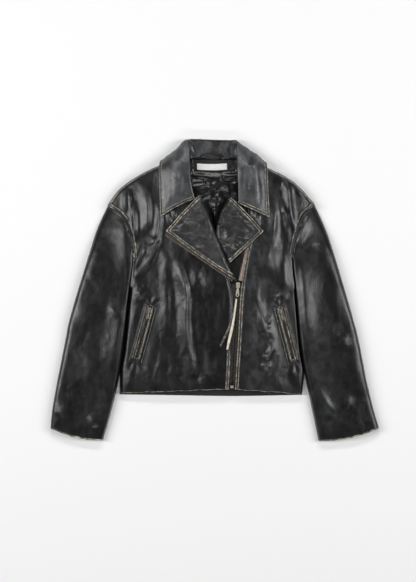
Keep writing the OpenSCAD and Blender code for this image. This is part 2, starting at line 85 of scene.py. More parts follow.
SLEEVE_OUTER = (
    [[-395, -330], [-390, -282], [-378, -215], [-359, -119], [-347, -61]],
    [[-396.5, -331], [-382, -282], [-366, -215], [-347, -119], [-332, -61]],
)
SLEEVE_INNER = (
    [[-268, -359], [-249, -292], [-234, -227], [-221, -143], [-208, -23]],
    [[-250, -361], [-240, -310], [-219, -203], [-209, -143], [-197, -23]],
)
CAP_OUTER = (
    [[-301, 92], [-282, 150], [-259.6, 203.8]],
    [[-287, 92], [-267, 150], [-244.6, 204.8]],
)
ARM_PIVOT = ([-262, 97], [-250, 97])
UNDERARM = [-3.5, 4]
ELBOW_PIT = ([-197.5, 30], [-188.5, 30])
ZIP_TOP = [56, 14]
ZIP_BOTTOM = [42, -228]
CHEST_ZIP = [[-60, 24], [-69, 62], [-77, 100], [-84, 132]]
UNDERLAP_INNER = [[-12, -236], [2, -60], [14, 60], [8, 150], [38, 214]]
UNDERLAP_OUTER = [[66, -236], [78, -60], [88, 60], [92, 150], [86, 208]]
LAPEL_B = ([48, 20], [-36, 67])
LAPEL_G = ([-64, 206], [-64, 197])
LAPEL_T = ([-120, 134.5], [-116, 141.5])
LAPEL_ROLL = (
    [[50, 22], [22, 84], [1, 136], [-18, 184], [-37, 226]],
    [[-33, 75], [-18, 104], [-5, 136], [-15, 184], [-38, 222]],
)
POCKET_TOP = ([-153, -38], [-156, -41])
POCKET_BOTTOM = ([-188, -167.5], [-190, -170])
NECK_SEAM = [
    [-66, 214, 42], [-64, 250, 40], [-64, 285, 30], [-64, 306, 18], [-48, 318, 9], [0, 317, 7.4],
    [46, 318, 9], [62, 306, 18], [62, 285, 30], [64, 250, 40], [66, 207, 42],
]
COLLAR_FOLD = [
    [-47, 219, 46], [-57, 260, 53], [-59, 300, 52], [-60, 341, 40], [-60, 360, 26], [0, 361, 22],
    [49, 357, 26], [54, 338, 40], [54, 300, 52], [56, 260, 53], [57, 208, 46],
]
LEAF_EDGE = [
    [-129, 176, 38], [-131, 240, 39.5], [-132, 297, 37], [-123, 314, 4], [-80, 302, 0.5], [0, 298, 0.5],
    [78, 301, 0.5], [118, 310, 4], [125.5, 294, 37], [128, 240, 39.5], [131, 175, 38],
]
LEAF_CROWN = [
    [-92, 202, 52], [-94, 250, 60], [-96, 298, 59], [-90, 348, 32], [-62, 372, 8], [0, 365, 2.2],
    [56, 368, 8], [90, 345, 32], [90, 298, 59], [92, 250, 60], [94, 192, 52],
]
THONG_CREAM = [
    [52.4, -20], [51.5, -28], [50, -38], [48.3, -50], [46.5, -62], [44.5, -75], [42, -88], [39, -101],
    [36, -114], [33, -127], [30, -141],
]
THONG_BLACK = [
    [51.6, -20], [50.4, -28], [48.4, -38], [46, -50], [43.2, -62], [39.5, -75], [34.6, -88], [29.4, -100],
    [24, -111.5], [19, -122], [13.5, -133],
]

CROWN_H, CROWN_SLOPE, CROWN_DROP, CROWN_HALF = 36, 0.02, 14, 230
EDGE_R = 11
SLEEVE_LOFT, CUFF_LOFT = 26, 22
BACK_BEND_Y, BACK_RISE = 265, 0.075
POCKET_L, WELT_W, WELT_IN = 134, 12, 4.4
TAPE_Z, TAPE_T, TAPE_W = 2.2, 0.8, 11
TOOTH_W, SLIT = 2.6, 1.8
CLOSE = 1.8
FAR = 99.0
RIM_BULGE = 0.4
STITCH_IN = 3.9
FRONT_WIDE, BODY_TALL, SHOULDER_RUN, SLEEVE_LONG = 260, 560, 450, 510

# ---------------------------------------------------------------- camera


def add_object(name, data):
    obj = bpy.data.objects.new(name, data)
    bpy.context.scene.collection.objects.link(obj)
    return obj


camera = add_object("camera", bpy.data.cameras.new("camera"))
camera.data.lens = 85
camera.data.sensor_width = 36
camera.data.clip_end = 50
camera.location = (-0.0156, -0.0012, 3.315)
bpy.context.scene.camera = camera

# ---------------------------------------------------------------- curves, noise and relief


def mix(a, b, t):
    return a + (b - a) * t


def smooth(x, lo, hi):
    """0 below lo, 1 above hi, smooth between them."""
    t = np.clip((np.asarray(x, float) - lo) / (hi - lo), 0, 1)
    return t * t * (3 - 2 * t)


def bell(x, centre, width):
    return np.exp(-(((x - centre) / width) ** 2))


def spline(p, s):
    """Catmull-Rom curve through the points p, s from 0 to 1."""
    p = np.asarray(p, float)
    n = len(p) - 1
    x = np.asarray(s, float) * n
    k = np.clip(np.floor(x).astype(int), 0, n - 1)
    t = (x - k)[..., None]
    a, b, c, d = p[np.maximum(k - 1, 0)], p[k], p[k + 1], p[np.minimum(k + 2, n)]
    return 0.5 * (2 * b + (c - a) * t + (2 * a - 5 * b + 4 * c - d) * t**2 + (3 * b - a - 3 * c + d) * t**3)


def even(p, count=400):
    """The curve through p as points an even distance apart."""
    dense = spline(p, np.linspace(0, 1, 40 * len(p)))
    run = np.concatenate([[0], np.cumsum(np.linalg.norm(np.diff(dense, axis=0), axis=1))])
    at = np.linspace(0, run[-1], count)
    return np.stack([np.interp(at, run, dense[:, i]) for i in range(dense.shape[1])], -1)


def unit(v):
    return v / np.maximum(np.linalg.norm(v, axis=-1, keepdims=True), 1e-9)


def at_share(line, s):
    """Point at share s of a line of evenly spaced points."""
    x = np.asarray(s, float) * (len(line) - 1)
    return np.stack([np.interp(x, np.arange(len(line)), line[:, i]) for i in range(line.shape[1])], -1)


def joined(a, b):
    return list(a) + list(b[1:])


def coons(bottom, top, first, last, u, v):
    """Patch between four curves of evenly spaced points; bottom and top run with u, first and last with v."""
    uu, vv = u[..., None], v[..., None]
    corners = mix(mix(bottom[0], bottom[-1], uu), mix(top[0], top[-1], uu), vv)
    return (
        mix(at_share(bottom, u), at_share(top, u), vv)
        + mix(at_share(first, v), at_share(last, v), uu)
        - corners
    )


def lattice(ix, iy, seed):
    v = np.sin(ix * 127.1 + iy * 311.7 + seed * 74.7) * 43758.5453
    return v - np.floor(v)


def value_noise(x, y, seed):
    ix, iy = np.floor(x), np.floor(y)
    fx, fy = x - ix, y - iy
    fx, fy = fx**3 * (fx * (fx * 6 - 15) + 10), fy**3 * (fy * (fy * 6 - 15) + 10)
    low = mix(lattice(ix, iy, seed), lattice(ix + 1, iy, seed), fx)
    high = mix(lattice(ix, iy + 1, seed), lattice(ix + 1, iy + 1, seed), fx)
    return mix(low, high, fy)


def fbm(x, y, seed, octaves=3):
    """Smooth noise from -1 to 1."""
    total, size = 0.0, 1.0
    for k in range(octaves):
        c, s = math.cos(0.6 * k), math.sin(0.6 * k)
        turned_x, turned_y = c * x - s * y, s * x + c * y
        total = total + size * (2 * value_noise(turned_x * 2**k, turned_y * 2**k, seed + 13 * k) - 1)
        size *= 0.5
    return total / (2 - 2 * size)


def ridged(x, y, seed, octaves=3):
    """Noise from 0 to 1 with narrow crests."""
    total, size, norm = 0.0, 1.0, 0.0
    for k in range(octaves):
        n = 1 - np.abs(2 * value_noise(x * 2**k, y * 2**k, seed + 7 * k) - 1)
        total = total + size * n**2.5
        norm += size
        size *= 0.45
    return total / norm


def near_line(line, x, y):
    """Distance to a polyline in plan, which side of it (left is +1), and the share of the way along."""
    best = np.full(np.shape(x), 1e9)
    side = np.ones(np.shape(x))
    along = np.zeros(np.shape(x))
    count = len(line) - 1
    for k in range(count):
        ax, ay = line[k][:2]
        bx, by = line[k + 1][:2]
        dx, dy = bx - ax, by - ay
        t = np.clip(((x - ax) * dx + (y - ay) * dy) / max(dx * dx + dy * dy, 1e-9), 0, 1)
        d = np.hypot(x - ax - t * dx, y - ay - t * dy)
        closer = d < best
        best = np.where(closer, d, best)
        side = np.where(closer, np.sign(dx * (y - ay) - dy * (x - ax)), side)
        along = np.where(closer, (k + t) / count, along)
    return best, side, along


def fold(x, y, points, height, left, right, fade=0.42):
    """A ridge along the points, with its own width to the left and to the right of their direction."""
    line = spline(points, np.linspace(0, 1, 5 * len(points)))
    d, side, along = near_line(line, x, y)
    w = np.where(side > 0, left, right)
    return height * smooth(along, 0, fade) * smooth(1 - along, 0, fade) * np.exp(-((d / w) ** 1.7))


def real(k, p):
    """Side-frame points in the jacket's own frame."""
    q = np.array(p, float)
    if k == LEFT:
        q[..., 0] *= -1
    return q


def side_by_side(points, shift):
    """The side seam or the sleeve's inner edge, moved by shift where the sleeve lies against the body."""
    q = np.array(points, float)
    q[:, 0] += shift * smooth(q[:, 1], -244, -212)
    return q.tolist()


def crown(x, y):
    return CROWN_H + CROWN_SLOPE * y - CROWN_DROP * (x / CROWN_HALF) ** 2


def plan(p):
    return p[..., 0], p[..., 1]


def back_rise(y):
    return np.maximum(0, y - BACK_BEND_Y) * BACK_RISE


def rolled(d):
    return np.sqrt(1 - (1 - np.clip(d / EDGE_R, 0, 1)) ** 2)


# Folds of the two fronts and of the sleeves: points, height, width to the left and right
FRONT_FOLDS = ([
    ([[-212, 250], [-214, 214], [-212, 186]], 2.2, 6, 7),
    ([[-204, 246], [-202, 214], [-199, 170]], 1.6, 5, 5),
    ([[-191, 218], [-192, 182], [-191, 144], [-195, 112]], 3.6, 8, 6),
    ([[-186, 266], [-167, 240], [-160, 203], [-159, 171], [-167, 144], [-162, 131]], 3.8, 7, 14),
    ([[-162, 134], [-148, 121], [-139, 117], [-146, 93], [-162, 64], [-183, 40], [-200, 28]], 4.4, 8, 16),
    ([[-132, 214], [-131, 171], [-136, 128], [-140, 112]], 3.4, 7, 7),
    ([[-167, 120], [-178, 85], [-197, 46]], 3.4, 7, 8),
    ([[-116, 118], [-117, 50], [-114, -60], [-112, -160]], 2.6, 15, 22),
    ([
        [-84, 106], [-87, 74], [-79, 40], [-68, 1], [-68, -63], [-65, -122], [-57, -176], [-50, -232],
    ], 5.2, 8, 17),
    ([[-44, 70], [-42, 30], [-36, -20]], 2.6, 18, 20),
    ([[-38, -226], [-30, -212], [-18, -200]], 2.0, 7, 8),
    ([[-183, 8], [-178, -10], [-170, -22]], 1.8, 14, 14),
    ([[-10, -150], [-6, -190], [-8, -226]], 1.6, 14, 14),
    ([[-112, 188], [-107, 172], [-104, 156]], 2.2, 3, 4),
    ([[-100, 196], [-95, 182], [-93, 168]], 2.2, 3, 4),
], [
    ([[138, 252], [161, 266], [174, 252], [178, 215], [184, 176], [190, 150], [194, 122]], 4.4, 8, 12),
    ([[141, 234], [144, 187], [141, 142], [139, 100]], 3.4, 8, 16),
    ([[156, 222], [166, 192], [173, 170], [178, 102]], 2.8, 7, 8),
    ([[190, 258], [202, 240], [214, 221]], 2.4, 7, 7),
    ([[128, 112], [124, 70], [120, 28]], 2.8, 22, 18),
    ([[99, 0], [107, -46], [119, -88], [127, -102], [122, -116]], 4.4, 10, 9),
    ([[122, -114], [136, -133], [134, -150], [124, -157], [114, -150]], 3.6, 7, 7),
    ([[112, -172], [124, -180], [138, -181]], 2.6, 7, 7),
    ([[66, -140], [72, -150], [77, -162]], 1.8, 6, 7),
    ([[146, -6], [147, -18], [143, -30]], 2.4, 7, 7),
    ([[140, -60], [130, -72], [128, -84]], 1.8, 6, 6),
    ([[165, 100], [168, 40], [176, -10]], 2.2, 12, 14),
    ([[88, 196], [92, 182], [93, 166]], 2.2, 4, 3),
    ([[104, 184], [103, 166], [106, 150]], 2.2, 4, 3),
])
FOLD_GAIN = 1.7
# Grey bands on the fronts: partly handling wear, partly painted highlight.
FRONT_WEAR_AND_SHEEN = (
    ([[-150, 190], [-135, 90], [-140, -30], [-120, -230]], 60, 0.2),
    ([[120, 190], [112, 90], [108, -60], [112, -230]], 64, 0.85),
)
# Grey bands along the inner part of each sleeve: painted highlight.
SLEEVE_SHEEN_BANDS = (
    ([[-228, 150], [-235, 40], [-255, -110], [-290, -300]], 50, 0.25),
    ([[222, 160], [224, 40], [240, -110], [280, -300]], 46, 0.6),
)
LAPEL_FOLDS = ([
    ([[-79, 142], [-62, 133], [-40, 127], [-17, 126]], 2.2, 5, 7),
    ([[-96, 151], [-76, 158], [-52, 157], [-34, 148]], 1.8, 5, 5),
    ([[-74, 172], [-56, 180], [-40, 172]], 1.6, 6, 5),
    ([[-48, 108], [-24, 98], [-6, 92]], 1.6, 5, 6),
    ([[-28, 76], [-6, 66], [8, 70]], 1.4, 5, 5),
    ([[-100, 146], [-60, 150], [-28, 140]], 3.4, 22, 24),
    ([[-50, 112], [-20, 88], [14, 58]], 2.6, 16, 20),
], [
    ([[40, 186], [62, 176], [84, 150]], 2.0, 8, 6),
    ([[30, 150], [56, 142], [80, 144]], 1.8, 6, 6),
    ([[24, 128], [44, 118], [66, 120]], 1.8, 6, 6),
    ([[30, 108], [44, 98], [50, 86]], 1.4, 6, 6),
    ([[96, 142], [60, 156], [38, 166]], 3.0, 22, 22),
])
SLEEVE_FOLDS = ([
    ([[-224, 178], [-217, 150], [-214, 100], [-211, 50], [-216, 0]], 3.4, 16, 22),
    ([[-218, 6], [-224, -40], [-235, -120], [-245, -180], [-262, -262]], 3.0, 12, 22),
    ([[-303, -20], [-306, -60], [-304, -100]], 1.6, 26, 26),
    ([[-352, -270], [-364, -290], [-372, -306]], 2.0, 10, 14),
    ([[-300, -296], [-288, -316], [-284, -330]], 2.0, 12, 14),
    ([[-286, -140], [-300, -190], [-310, -240]], 1.6, 22, 26),
    ([[-250, -30], [-240, -52], [-228, -66]], 1.4, 8, 9),
], [
    ([[234, 196], [216, 160], [204, 122], [203, 96]], 4.2, 12, 8),
    ([[206, 104], [228, 108], [246, 126]], 2.6, 10, 12),
    ([[206, 100], [210, 60], [214, 0], [219, -60], [226, -110], [228, -174]], 3.8, 20, 10),
    ([[300, -108], [312, -122], [308, -150]], 2.6, 12, 16),
    ([[246, -232], [270, -272], [290, -302]], 2.8, 10, 12),
    ([[312, -250], [322, -268], [318, -290]], 2.2, 9, 10),
    ([[280, 20], [292, -30], [300, -80]], 1.6, 26, 26),
    ([[330, -150], [346, -210], [356, -260]], 1.4, 18, 18),
])


def calm(k, x, y):
    """0 next to the zips, where the leather is held flat, and 1 away from them."""
    pocket = [real(k, POCKET_TOP[k]), real(k, POCKET_BOTTOM[k])]
    d = near_line(pocket, x, y)[0]
    c = smooth(d, 15, 36)
    c = c * smooth(near_line([ZIP_TOP, ZIP_BOTTOM], x, y)[0], 13, 44)
    if k == RIGHT:
        c = c * smooth(near_line(THONG_BLACK, x, y)[0], 8, 34)
    if k == LEFT:
        c = c * smooth(near_line(real(LEFT, CHEST_ZIP), x, y)[0], 10, 34)
    return c


def drape(seed, x, y, wide, narrow):
    """Long soft waves that run roughly down the panel and wander to the sides."""
    u = x + 26 * fbm(x / 80, y / 95, seed + 301, 2) + 0.12 * y
    v = y + 70 * fbm(x / 60, y / 110, seed + 311, 2)
    s = x + 15 * fbm(x / 40, y / 48, seed + 321, 2) - 0.1 * y
    return wide * fbm(u / 58, v / 210, seed + 331, 2) + narrow * fbm(s / 23, v / 88, seed + 341, 2)


def front_relief(k, x, y):
    """Height of folds and wrinkles on a front above its smooth shape."""
    calmer = 1 - 0.45 * smooth(y, 90, 190)
    z = calmer * drape(k, x, y, 3.6, 0.95) + 0.3 * fbm(x / 8, y / 11, 31 + k, 3)
    for points, height, left, right in FRONT_FOLDS[k]:
        z = z + fold(x, y, points, FOLD_GAIN * height, left, right)
    z = z * calm(k, x, y)
    for end, turn in ((POCKET_TOP[k], 0.0), (POCKET_BOTTOM[k], math.pi)):
        q = real(k, end)
        r, angle = np.hypot(x - q[0], y - q[1]), np.arctan2(y - q[1], x - q[0])
        away = np.clip(np.sin(angle) * math.cos(turn), 0, 1)
        rays = np.cos(6.5 * angle + 2 * fbm(x / 30, y / 30, 37 + k, 2))
        z = z + away * 0.6 * rays * bell(r, 19, 9)
    return z


def sleeve_relief(k, x, y):
    z = drape(k + 7, x, y, 1.7, 0.6) + 0.26 * fbm(x / 9, y / 12, 61 + k, 3)
    for points, height, left, right in SLEEVE_FOLDS[k]:
        z = z + fold(x, y, points, 1.3 * height, left, right)
    return z


def crest(relief, k, x, y, reach=3.0):
    """1 on narrow ridges and 0 elsewhere; the grey painted on them is partly rubbed wear and partly painted
    highlight.
    """
    around = sum(relief(k, x + reach * i, y + reach * j) for i, j in ((1, 0), (-1, 0), (0, 1), (0, -1)))
    return smooth(4 * relief(k, x, y) - around, 0.18, 1.15)


def paler(x, y, line, reach, seed):
    """Share of grey along a line in soft mottled patches: grey where handling has dulled the black, and
    painted highlight bands where the leather would catch the light.
    """
    away = near_line(spline(line, np.linspace(0, 1, 40)), x, y)[0]
    patchy = smooth(fbm(x / 16, y / 22, seed, 3), -0.55, 0.5)
    return (1 - smooth(away, 0.25 * reach, reach)) * (0.35 + 0.65 * patchy)


def turned_edge(d):
    """Profile of a folded and topstitched edge, by distance from it."""
    return 0.9 * (1 - smooth(d, 2.4, 3.6)) - 0.7 * bell(d, STITCH_IN, 0.9) + 0.6 * bell(d, 6.0, 1.3)


# ---------------------------------------------------------------- meshes


def grid_faces(rows, cols, wrap=False):
    i = np.arange(rows * cols).reshape(rows, cols)
    n = np.roll(i, -1, axis=1) if wrap else i[:, 1:]
    i = i if wrap else i[:, :-1]
    return np.stack([i[:-1], n[:-1], n[1:], i[1:]], -1)


def grid_normals(p, wrap=False):
    if wrap:
        du = np.roll(p, -1, axis=1) - np.roll(p, 1, axis=1)
    else:
        du = np.gradient(p, axis=1)
    return unit(np.cross(du, np.gradient(p, axis=0)))


def edit_mesh(mesh, change):
    bm = bmesh.new()
    bm.from_mesh(mesh)
    change(bm)
    bm.to_mesh(mesh)
    bm.free()


def new_object(name, verts, faces, attributes=None, smooth_faces=True):
    """Mesh object; verts are millimetres and faces a list."""
    mesh = bpy.data.meshes.new(name)
    mesh.from_pydata((np.asarray(verts, float) * MM).tolist(), [], faces)
    for key, values in (attributes or {}).items():
        layer = mesh.attributes.new(key, "FLOAT", "POINT")
        layer.data.foreach_set("value", np.asarray(values, np.float32).ravel())
    if smooth_faces:
        mesh.shade_smooth()
    return add_object(name, mesh)


def face_outwards(obj):
    edit_mesh(obj.data, lambda bm: bmesh.ops.recalc_face_normals(bm, faces=bm.faces))
    return obj


def weld_points(bm):
    bmesh.ops.remove_doubles(bm, verts=bm.verts, dist=0.00002)
    bmesh.ops.dissolve_degenerate(bm, edges=bm.edges, dist=0.00001)


def shell(
    name, p, thickness, edge=None, seam=None, keep=None, ridge=None, side=RIGHT, wrap=False, weld=False,
):
    """Closed sheet whose outside is the grid p (rows, columns, xyz in mm), with rounded edges.

    Grids of the left half run the other way in u, so that their outside stays outside.
    """
    if side == LEFT:
        p, edge, seam, keep, ridge = [g if g is None else g[:, ::-1] for g in (p, edge, seam, keep, ridge)]
    rows, cols = p.shape[:2]
    normal = grid_normals(p, wrap).reshape(-1, 3)
    faces = grid_faces(rows, cols, wrap)
    faces = faces[keep] if keep is not None else faces.reshape(-1, 4)
    top = p.reshape(-1, 3)
    low = top - thickness * normal
    size = len(top)
    start, end = faces, np.roll(faces, -1, axis=1)
    code = (start.astype(np.int64) * size + end).ravel()
    back = (end.astype(np.int64) * size + start).ravel()
    rim = ~np.isin(code, back)
    a, b = start.ravel()[rim], end.ravel()[rim]
    out = np.zeros((size, 3))
    push = unit(np.cross(top[b] - top[a], normal[a]))
    np.add.at(out, a, push)
    np.add.at(out, b, push)
    middle = (top + low) / 2 + RIM_BULGE * thickness * unit(out)
    verts = np.concatenate([top, low, middle])
    quads = np.concatenate([
        faces,
        faces[:, ::-1] + size,
        np.stack([b, a, a + 2 * size, b + 2 * size], -1),
        np.stack([b + 2 * size, a + 2 * size, a + size, b + size], -1),
    ])
    used, compact = np.unique(quads, return_inverse=True)
    attributes = {}
    for key, values, empty in (("edge_d", edge, FAR), ("seam_d", seam, FAR), ("crest", ridge, 0.0)):
        flat = np.full(size, empty) if values is None else np.asarray(values, float).ravel()
        attributes[key] = np.tile(flat, 3)[used]
    obj = new_object(name, verts[used], compact.reshape(quads.shape).tolist(), attributes)
    if weld:
        edit_mesh(obj.data, weld_points)
        obj.data.shade_smooth()
    return obj


def dist3(line, p):
    """Distance of each grid point to a polyline in space."""
    best = np.full(p.shape[:-1], 1e9)
    for a, b in zip(line[:-1], line[1:]):
        d = b - a
        t = np.clip(((p - a) @ d) / max(float(d @ d), 1e-9), 0, 1)
        best = np.minimum(best, np.linalg.norm(p - a - t[..., None] * d, axis=-1))
    return best


def plan_dist(line, p):
    return near_line(line, *plan(p))[0]


def tube(name, path, rx, rz, sides=12, power=2.0):
    """Closed tube along a path in mm; its section is rx wide and rz high, and squarer with a higher power."""
    path = np.asarray(path, float)
    t = unit(np.gradient(path, axis=0))
    across = unit(np.cross(t, (0, 0, 1)))
    high = np.cross(across, t)
    angle = np.linspace(0, 2 * math.pi, sides, endpoint=False)
    c, s = np.cos(angle), np.sin(angle)
    cx = np.sign(c) * np.abs(c) ** (2 / power)
    sz = np.sign(s) * np.abs(s) ** (2 / power)
    count = len(path)
    rx, rz = [np.broadcast_to(r, count)[:, None] for r in (rx, rz)]
    p = path[:, None] + (rx * cx)[..., None] * across[:, None] + (rz * sz)[..., None] * high[:, None]
    faces = grid_faces(count, sides, wrap=True).reshape(-1, 4)[:, ::-1].tolist()
    verts = np.concatenate([p.reshape(-1, 3), [path[0], path[-1]]])
    a, b, last = count * sides, count * sides + 1, (count - 1) * sides
    faces += [[a, k, (k + 1) % sides] for k in range(sides)]
    faces += [[b, last + (k + 1) % sides, last + k] for k in range(sides)]
    half_width = np.concatenate([np.tile(np.abs(cx), count), [0, 0]])
    wear = {"edge_d": np.full(len(verts), FAR), "seam_d": (1 - half_width) * float(np.mean(rx))}
    return face_outwards(new_object(name, verts, faces, wear))


def at_distance(grid, dist, value):
    """The points of a grid's rows where dist, counted from the last column, first reaches value."""
    found = []
    for row, d in zip(grid, dist):
        i = len(d) - 2
        while i > 0 and d[i] < value:
            i -= 1
        if i > 0 and d[i + 1] < value <= d[i]:
            found.append(mix(row[i + 1], row[i], (value - d[i + 1]) / (d[i] - d[i + 1])))
    return np.array(found)


def repeat_shape(name, corners, faces, centres, frames, smooth_faces=True):
    """One mesh with a small shape repeated at the centres, each turned to its frame of three axes."""
    all_verts, all_faces = [], []
    for centre, axes in zip(centres, frames):
        all_faces.extend([[len(all_verts) + i for i in face] for face in faces])
        all_verts.extend((centre + corners @ axes).tolist())
    return new_object(name, all_verts, all_faces, smooth_faces=smooth_faces)


def stitches(name, lines, pitch=4.2, length=3.0, radius=0.38, lift=0.12):
    """Thread lying on the leather along each line, one small spindle per stitch."""
    ring = np.array([
        [0, 1, 0], [0, 0.5, 0.87], [0, -0.5, 0.87], [0, -1, 0], [0, -0.5, -0.87], [0, 0.5, -0.87],
    ])
    spindle = np.concatenate([[[-0.5, 0, -0.5]], ring + [-0.3, 0, 0], ring + [0.3, 0, 0], [[0.5, 0, -0.5]]])
    around = [(j, (j + 1) % 6) for j in range(6)]
    faces = [[0, 1 + b, 1 + a] for a, b in around] + [[13, 7 + a, 7 + b] for a, b in around]
    faces += [[1 + a, 1 + b, 7 + b, 7 + a] for a, b in around]
    centres, frames = [], []
    for line in lines:
        step = np.linalg.norm(np.diff(line, axis=0), axis=1)
        run = np.concatenate([[0], np.cumsum(np.where(step > 25, 0, step))])
        at = np.arange(0.6 * pitch, run[-1] - 0.6 * pitch, pitch)
        ends = [np.stack([np.interp(at + s, run, line[:, i]) for i in range(3)], -1) for s in (-1, 1)]
        along = unit(ends[1] - ends[0])
        across = unit(np.cross([0, 0, 1], along))
        up = np.cross(along, across)
        centres.extend((ends[0] + ends[1]) / 2 + lift * up)
        frames.extend(np.stack([along, across, up], 1))
    obj = repeat_shape(name, spindle * [length, radius, radius], faces, centres, frames)
    obj.data.materials.append(THREAD)
    return obj


# ---------------------------------------------------------------- materials


def rgb(r, g, b):
    return (r, g, b, 1.0)


class Look:
    """A material in the making, with short names for the shader nodes that it is built from."""

    def __init__(self, name):
        self.mat = bpy.data.materials.new(name)
        self.mat.use_nodes = True
        self.tree = self.mat.node_tree
        self.tree.nodes.clear()
        self.shader = self.node("ShaderNodeBsdfPrincipled")
        self.node("ShaderNodeOutputMaterial", {0: self.shader.outputs[0]})
        self.coord = self.node("ShaderNodeTexCoord").outputs["Object"]

    def fill(self, n, inputs):
        for key, value in inputs.items():
            if isinstance(value, bpy.types.NodeSocket):
                self.tree.links.new(value, n.inputs[key])
            else:
                n.inputs[key].default_value = value

    def node(self, kind, inputs=None, **settings):
        n = self.tree.nodes.new(kind)
        for key, value in settings.items():
            setattr(n, key, value)
        self.fill(n, inputs or {})
        return n

    def pattern(self, kind, inputs, **settings):
        """Texture node on the object's own coordinates."""
        return self.node(kind, {"Vector": self.coord, **inputs}, **settings)

    def noise(self, scale, detail=3.0, rough=0.55, distortion=0.0):
        inputs = {"Scale": scale, "Detail": detail, "Roughness": rough, "Distortion": distortion}
        return self.pattern("ShaderNodeTexNoise", inputs).outputs["Fac"]

    def wave(self, scale, direction, distortion=0.0, detail=2.0):
        inputs = {"Scale": scale, "Distortion": distortion, "Detail": detail}
        return self.pattern("ShaderNodeTexWave", inputs, bands_direction=direction).outputs["Fac"]

    def cells(self, scale):
        return self.pattern("ShaderNodeTexVoronoi", {"Scale": scale, "Randomness": 1.0}).outputs["Distance"]

    def ramp(self, value, lo, hi, a=0.0, b=1.0):
        inputs = {0: value, 1: lo, 2: hi, 3: a, 4: b}
        return self.node("ShaderNodeMapRange", inputs, interpolation_type="SMOOTHSTEP").outputs[0]

    def calc(self, operation, a, b=0.0):
        return self.node("ShaderNodeMath", {0: a, 1: b}, operation=operation).outputs[0]

    def add(self, a, b):
        return self.calc("ADD", a, b)

    def mul(self, a, b):
        return self.calc("MULTIPLY", a, b)

    def blend(self, share, a, b):
        a, b = [rgb(*c) if isinstance(c, tuple) else c for c in (a, b)]
        return self.node("ShaderNodeMix", {0: share, 6: a, 7: b}, data_type="RGBA").outputs[2]

    def attribute(self, name):
        return self.node("ShaderNodeAttribute", attribute_name=name).outputs["Fac"]

    def finish(self, colour, roughness, height, strength, distance, **values):
        """Connect the shader; values are further inputs, with _ for a space."""
        bump = self.node("ShaderNodeBump", {"Height": height, "Strength": strength, "Distance": distance})
        self.fill(self.shader, {"Base Color": colour, "Roughness": roughness, "Normal": bump.outputs[0]})
        self.fill(self.shader, {key.replace("_", " "): value for key, value in values.items()})
        return self.mat


def leather(name, dark, light, warm, rough=0.32, crest_wear_sheen_grey=0.06, lines=True):
    """Worn black leather: mottled grey, pebbled grain, and edges rubbed through to cream."""
    m = Look(name)
    big, mid, fine = m.noise(7, 3, 0.6), m.noise(38, 4, 0.62, 0.4), m.noise(240, 3, 0.6)
    colour = m.blend(m.ramp(mid, 0.34, 0.68), dark, light)
    colour = m.blend(m.mul(m.ramp(big, 0.44, 0.7), 0.55), colour, warm)
    colour = m.blend(m.mul(m.ramp(fine, 0.35, 0.75), 0.3), colour, light)
    # Grey painted where the crest attribute is set: partly rubbed wear, partly painted highlight on fold
    # ridges; on the collar and stand it is painted highlight streaks.
    crest_wear_and_sheen = m.mul(m.attribute("crest"), m.ramp(m.noise(55, 4, 0.65), 0.3, 0.7, 0.25, 1.0))
    colour = m.blend(m.mul(crest_wear_and_sheen, 0.7), colour, (crest_wear_sheen_grey, 1.02 * crest_wear_sheen_grey, 1.07 * crest_wear_sheen_grey))
    roughness = m.add(m.add(m.mul(mid, 0.2), rough - 0.16), m.mul(m.noise(150, 3, 0.6), 0.14))
    height = m.add(m.mul(m.cells(900.0), 0.22), m.mul(m.noise(70, 6, 0.65, 0.8), 0.9))
    height = m.add(height, m.mul(fine, 0.85))
    speck = m.mul(m.ramp(m.cells(19.0), 0.035, 0.02), m.ramp(big, 0.5, 0.62))
    mask = m.mul(speck, 0.35)
    if lines:
        wobble = m.mul(m.calc("SUBTRACT", m.noise(150, 4, 0.65), 0.5), 2.6)
        edge = m.add(m.attribute("edge_d"), wobble)
        seam = m.add(m.attribute("seam_d"), wobble)
        outer = m.ramp(edge, 0.7, 1.8, 1.0, 0.0)
        inner = m.ramp(m.calc("ABSOLUTE", m.calc("SUBTRACT", edge, 6.0)), 0.35, 1.15, 0.9, 0.0)
        single = m.ramp(seam, 0.5, 1.5, 1.0, 0.0)
        worn = m.calc("MAXIMUM", m.calc("MAXIMUM", outer, inner), single)
        patchy = m.ramp(m.noise(110, 5, 0.72), 0.38, 0.58, 0.14, 1.0)
        along = m.ramp(m.noise(17, 2), 0.34, 0.56, 0.42, 1.0)
        groove = m.ramp(m.calc("ABSOLUTE", m.calc("SUBTRACT", edge, 3.9)), 0.9, 2.0, 0.7, 0.0)
        colour = m.blend(groove, colour, (0.006, 0.006, 0.007))
        mask = m.calc("MAXIMUM", mask, m.mul(m.mul(worn, patchy), along))
    cream = m.blend(m.ramp(m.noise(130, 3), 0.35, 0.65), (0.2, 0.168, 0.128), (0.58, 0.52, 0.415))
    return m.finish(m.blend(mask, colour, cream), m.add(roughness, m.mul(mask, 0.3)), height, 0.38, 0.0006)


def satin(name, dark, light):
    """Glossy lining cloth with a fine twill."""
    m = Look(name)
    tone = m.noise(30, 3)
    colour = m.blend(m.ramp(tone, 0.35, 0.7), dark, light)
    height = m.add(m.mul(m.wave(420.0, "DIAGONAL", 1.0, 1.0), 0.1), m.noise(45, 2))
    return m.finish(colour, m.add(m.mul(tone, 0.14), 0.22), height, 0.22, 0.0008, Sheen_Weight=0.1)


def woven(name, dark, light, scale):
    """Herringbone zip tape or label cloth."""
    m = Look(name)
    cross = m.mul(m.wave(scale, "X", 0.6), m.wave(scale, "Y", 0.6))
    share = m.add(m.mul(cross, 0.6), m.mul(m.noise(60), 0.5))
    return m.finish(m.blend(share, dark, light), 0.75, cross, 0.5, 0.0003, Sheen_Weight=0.15)


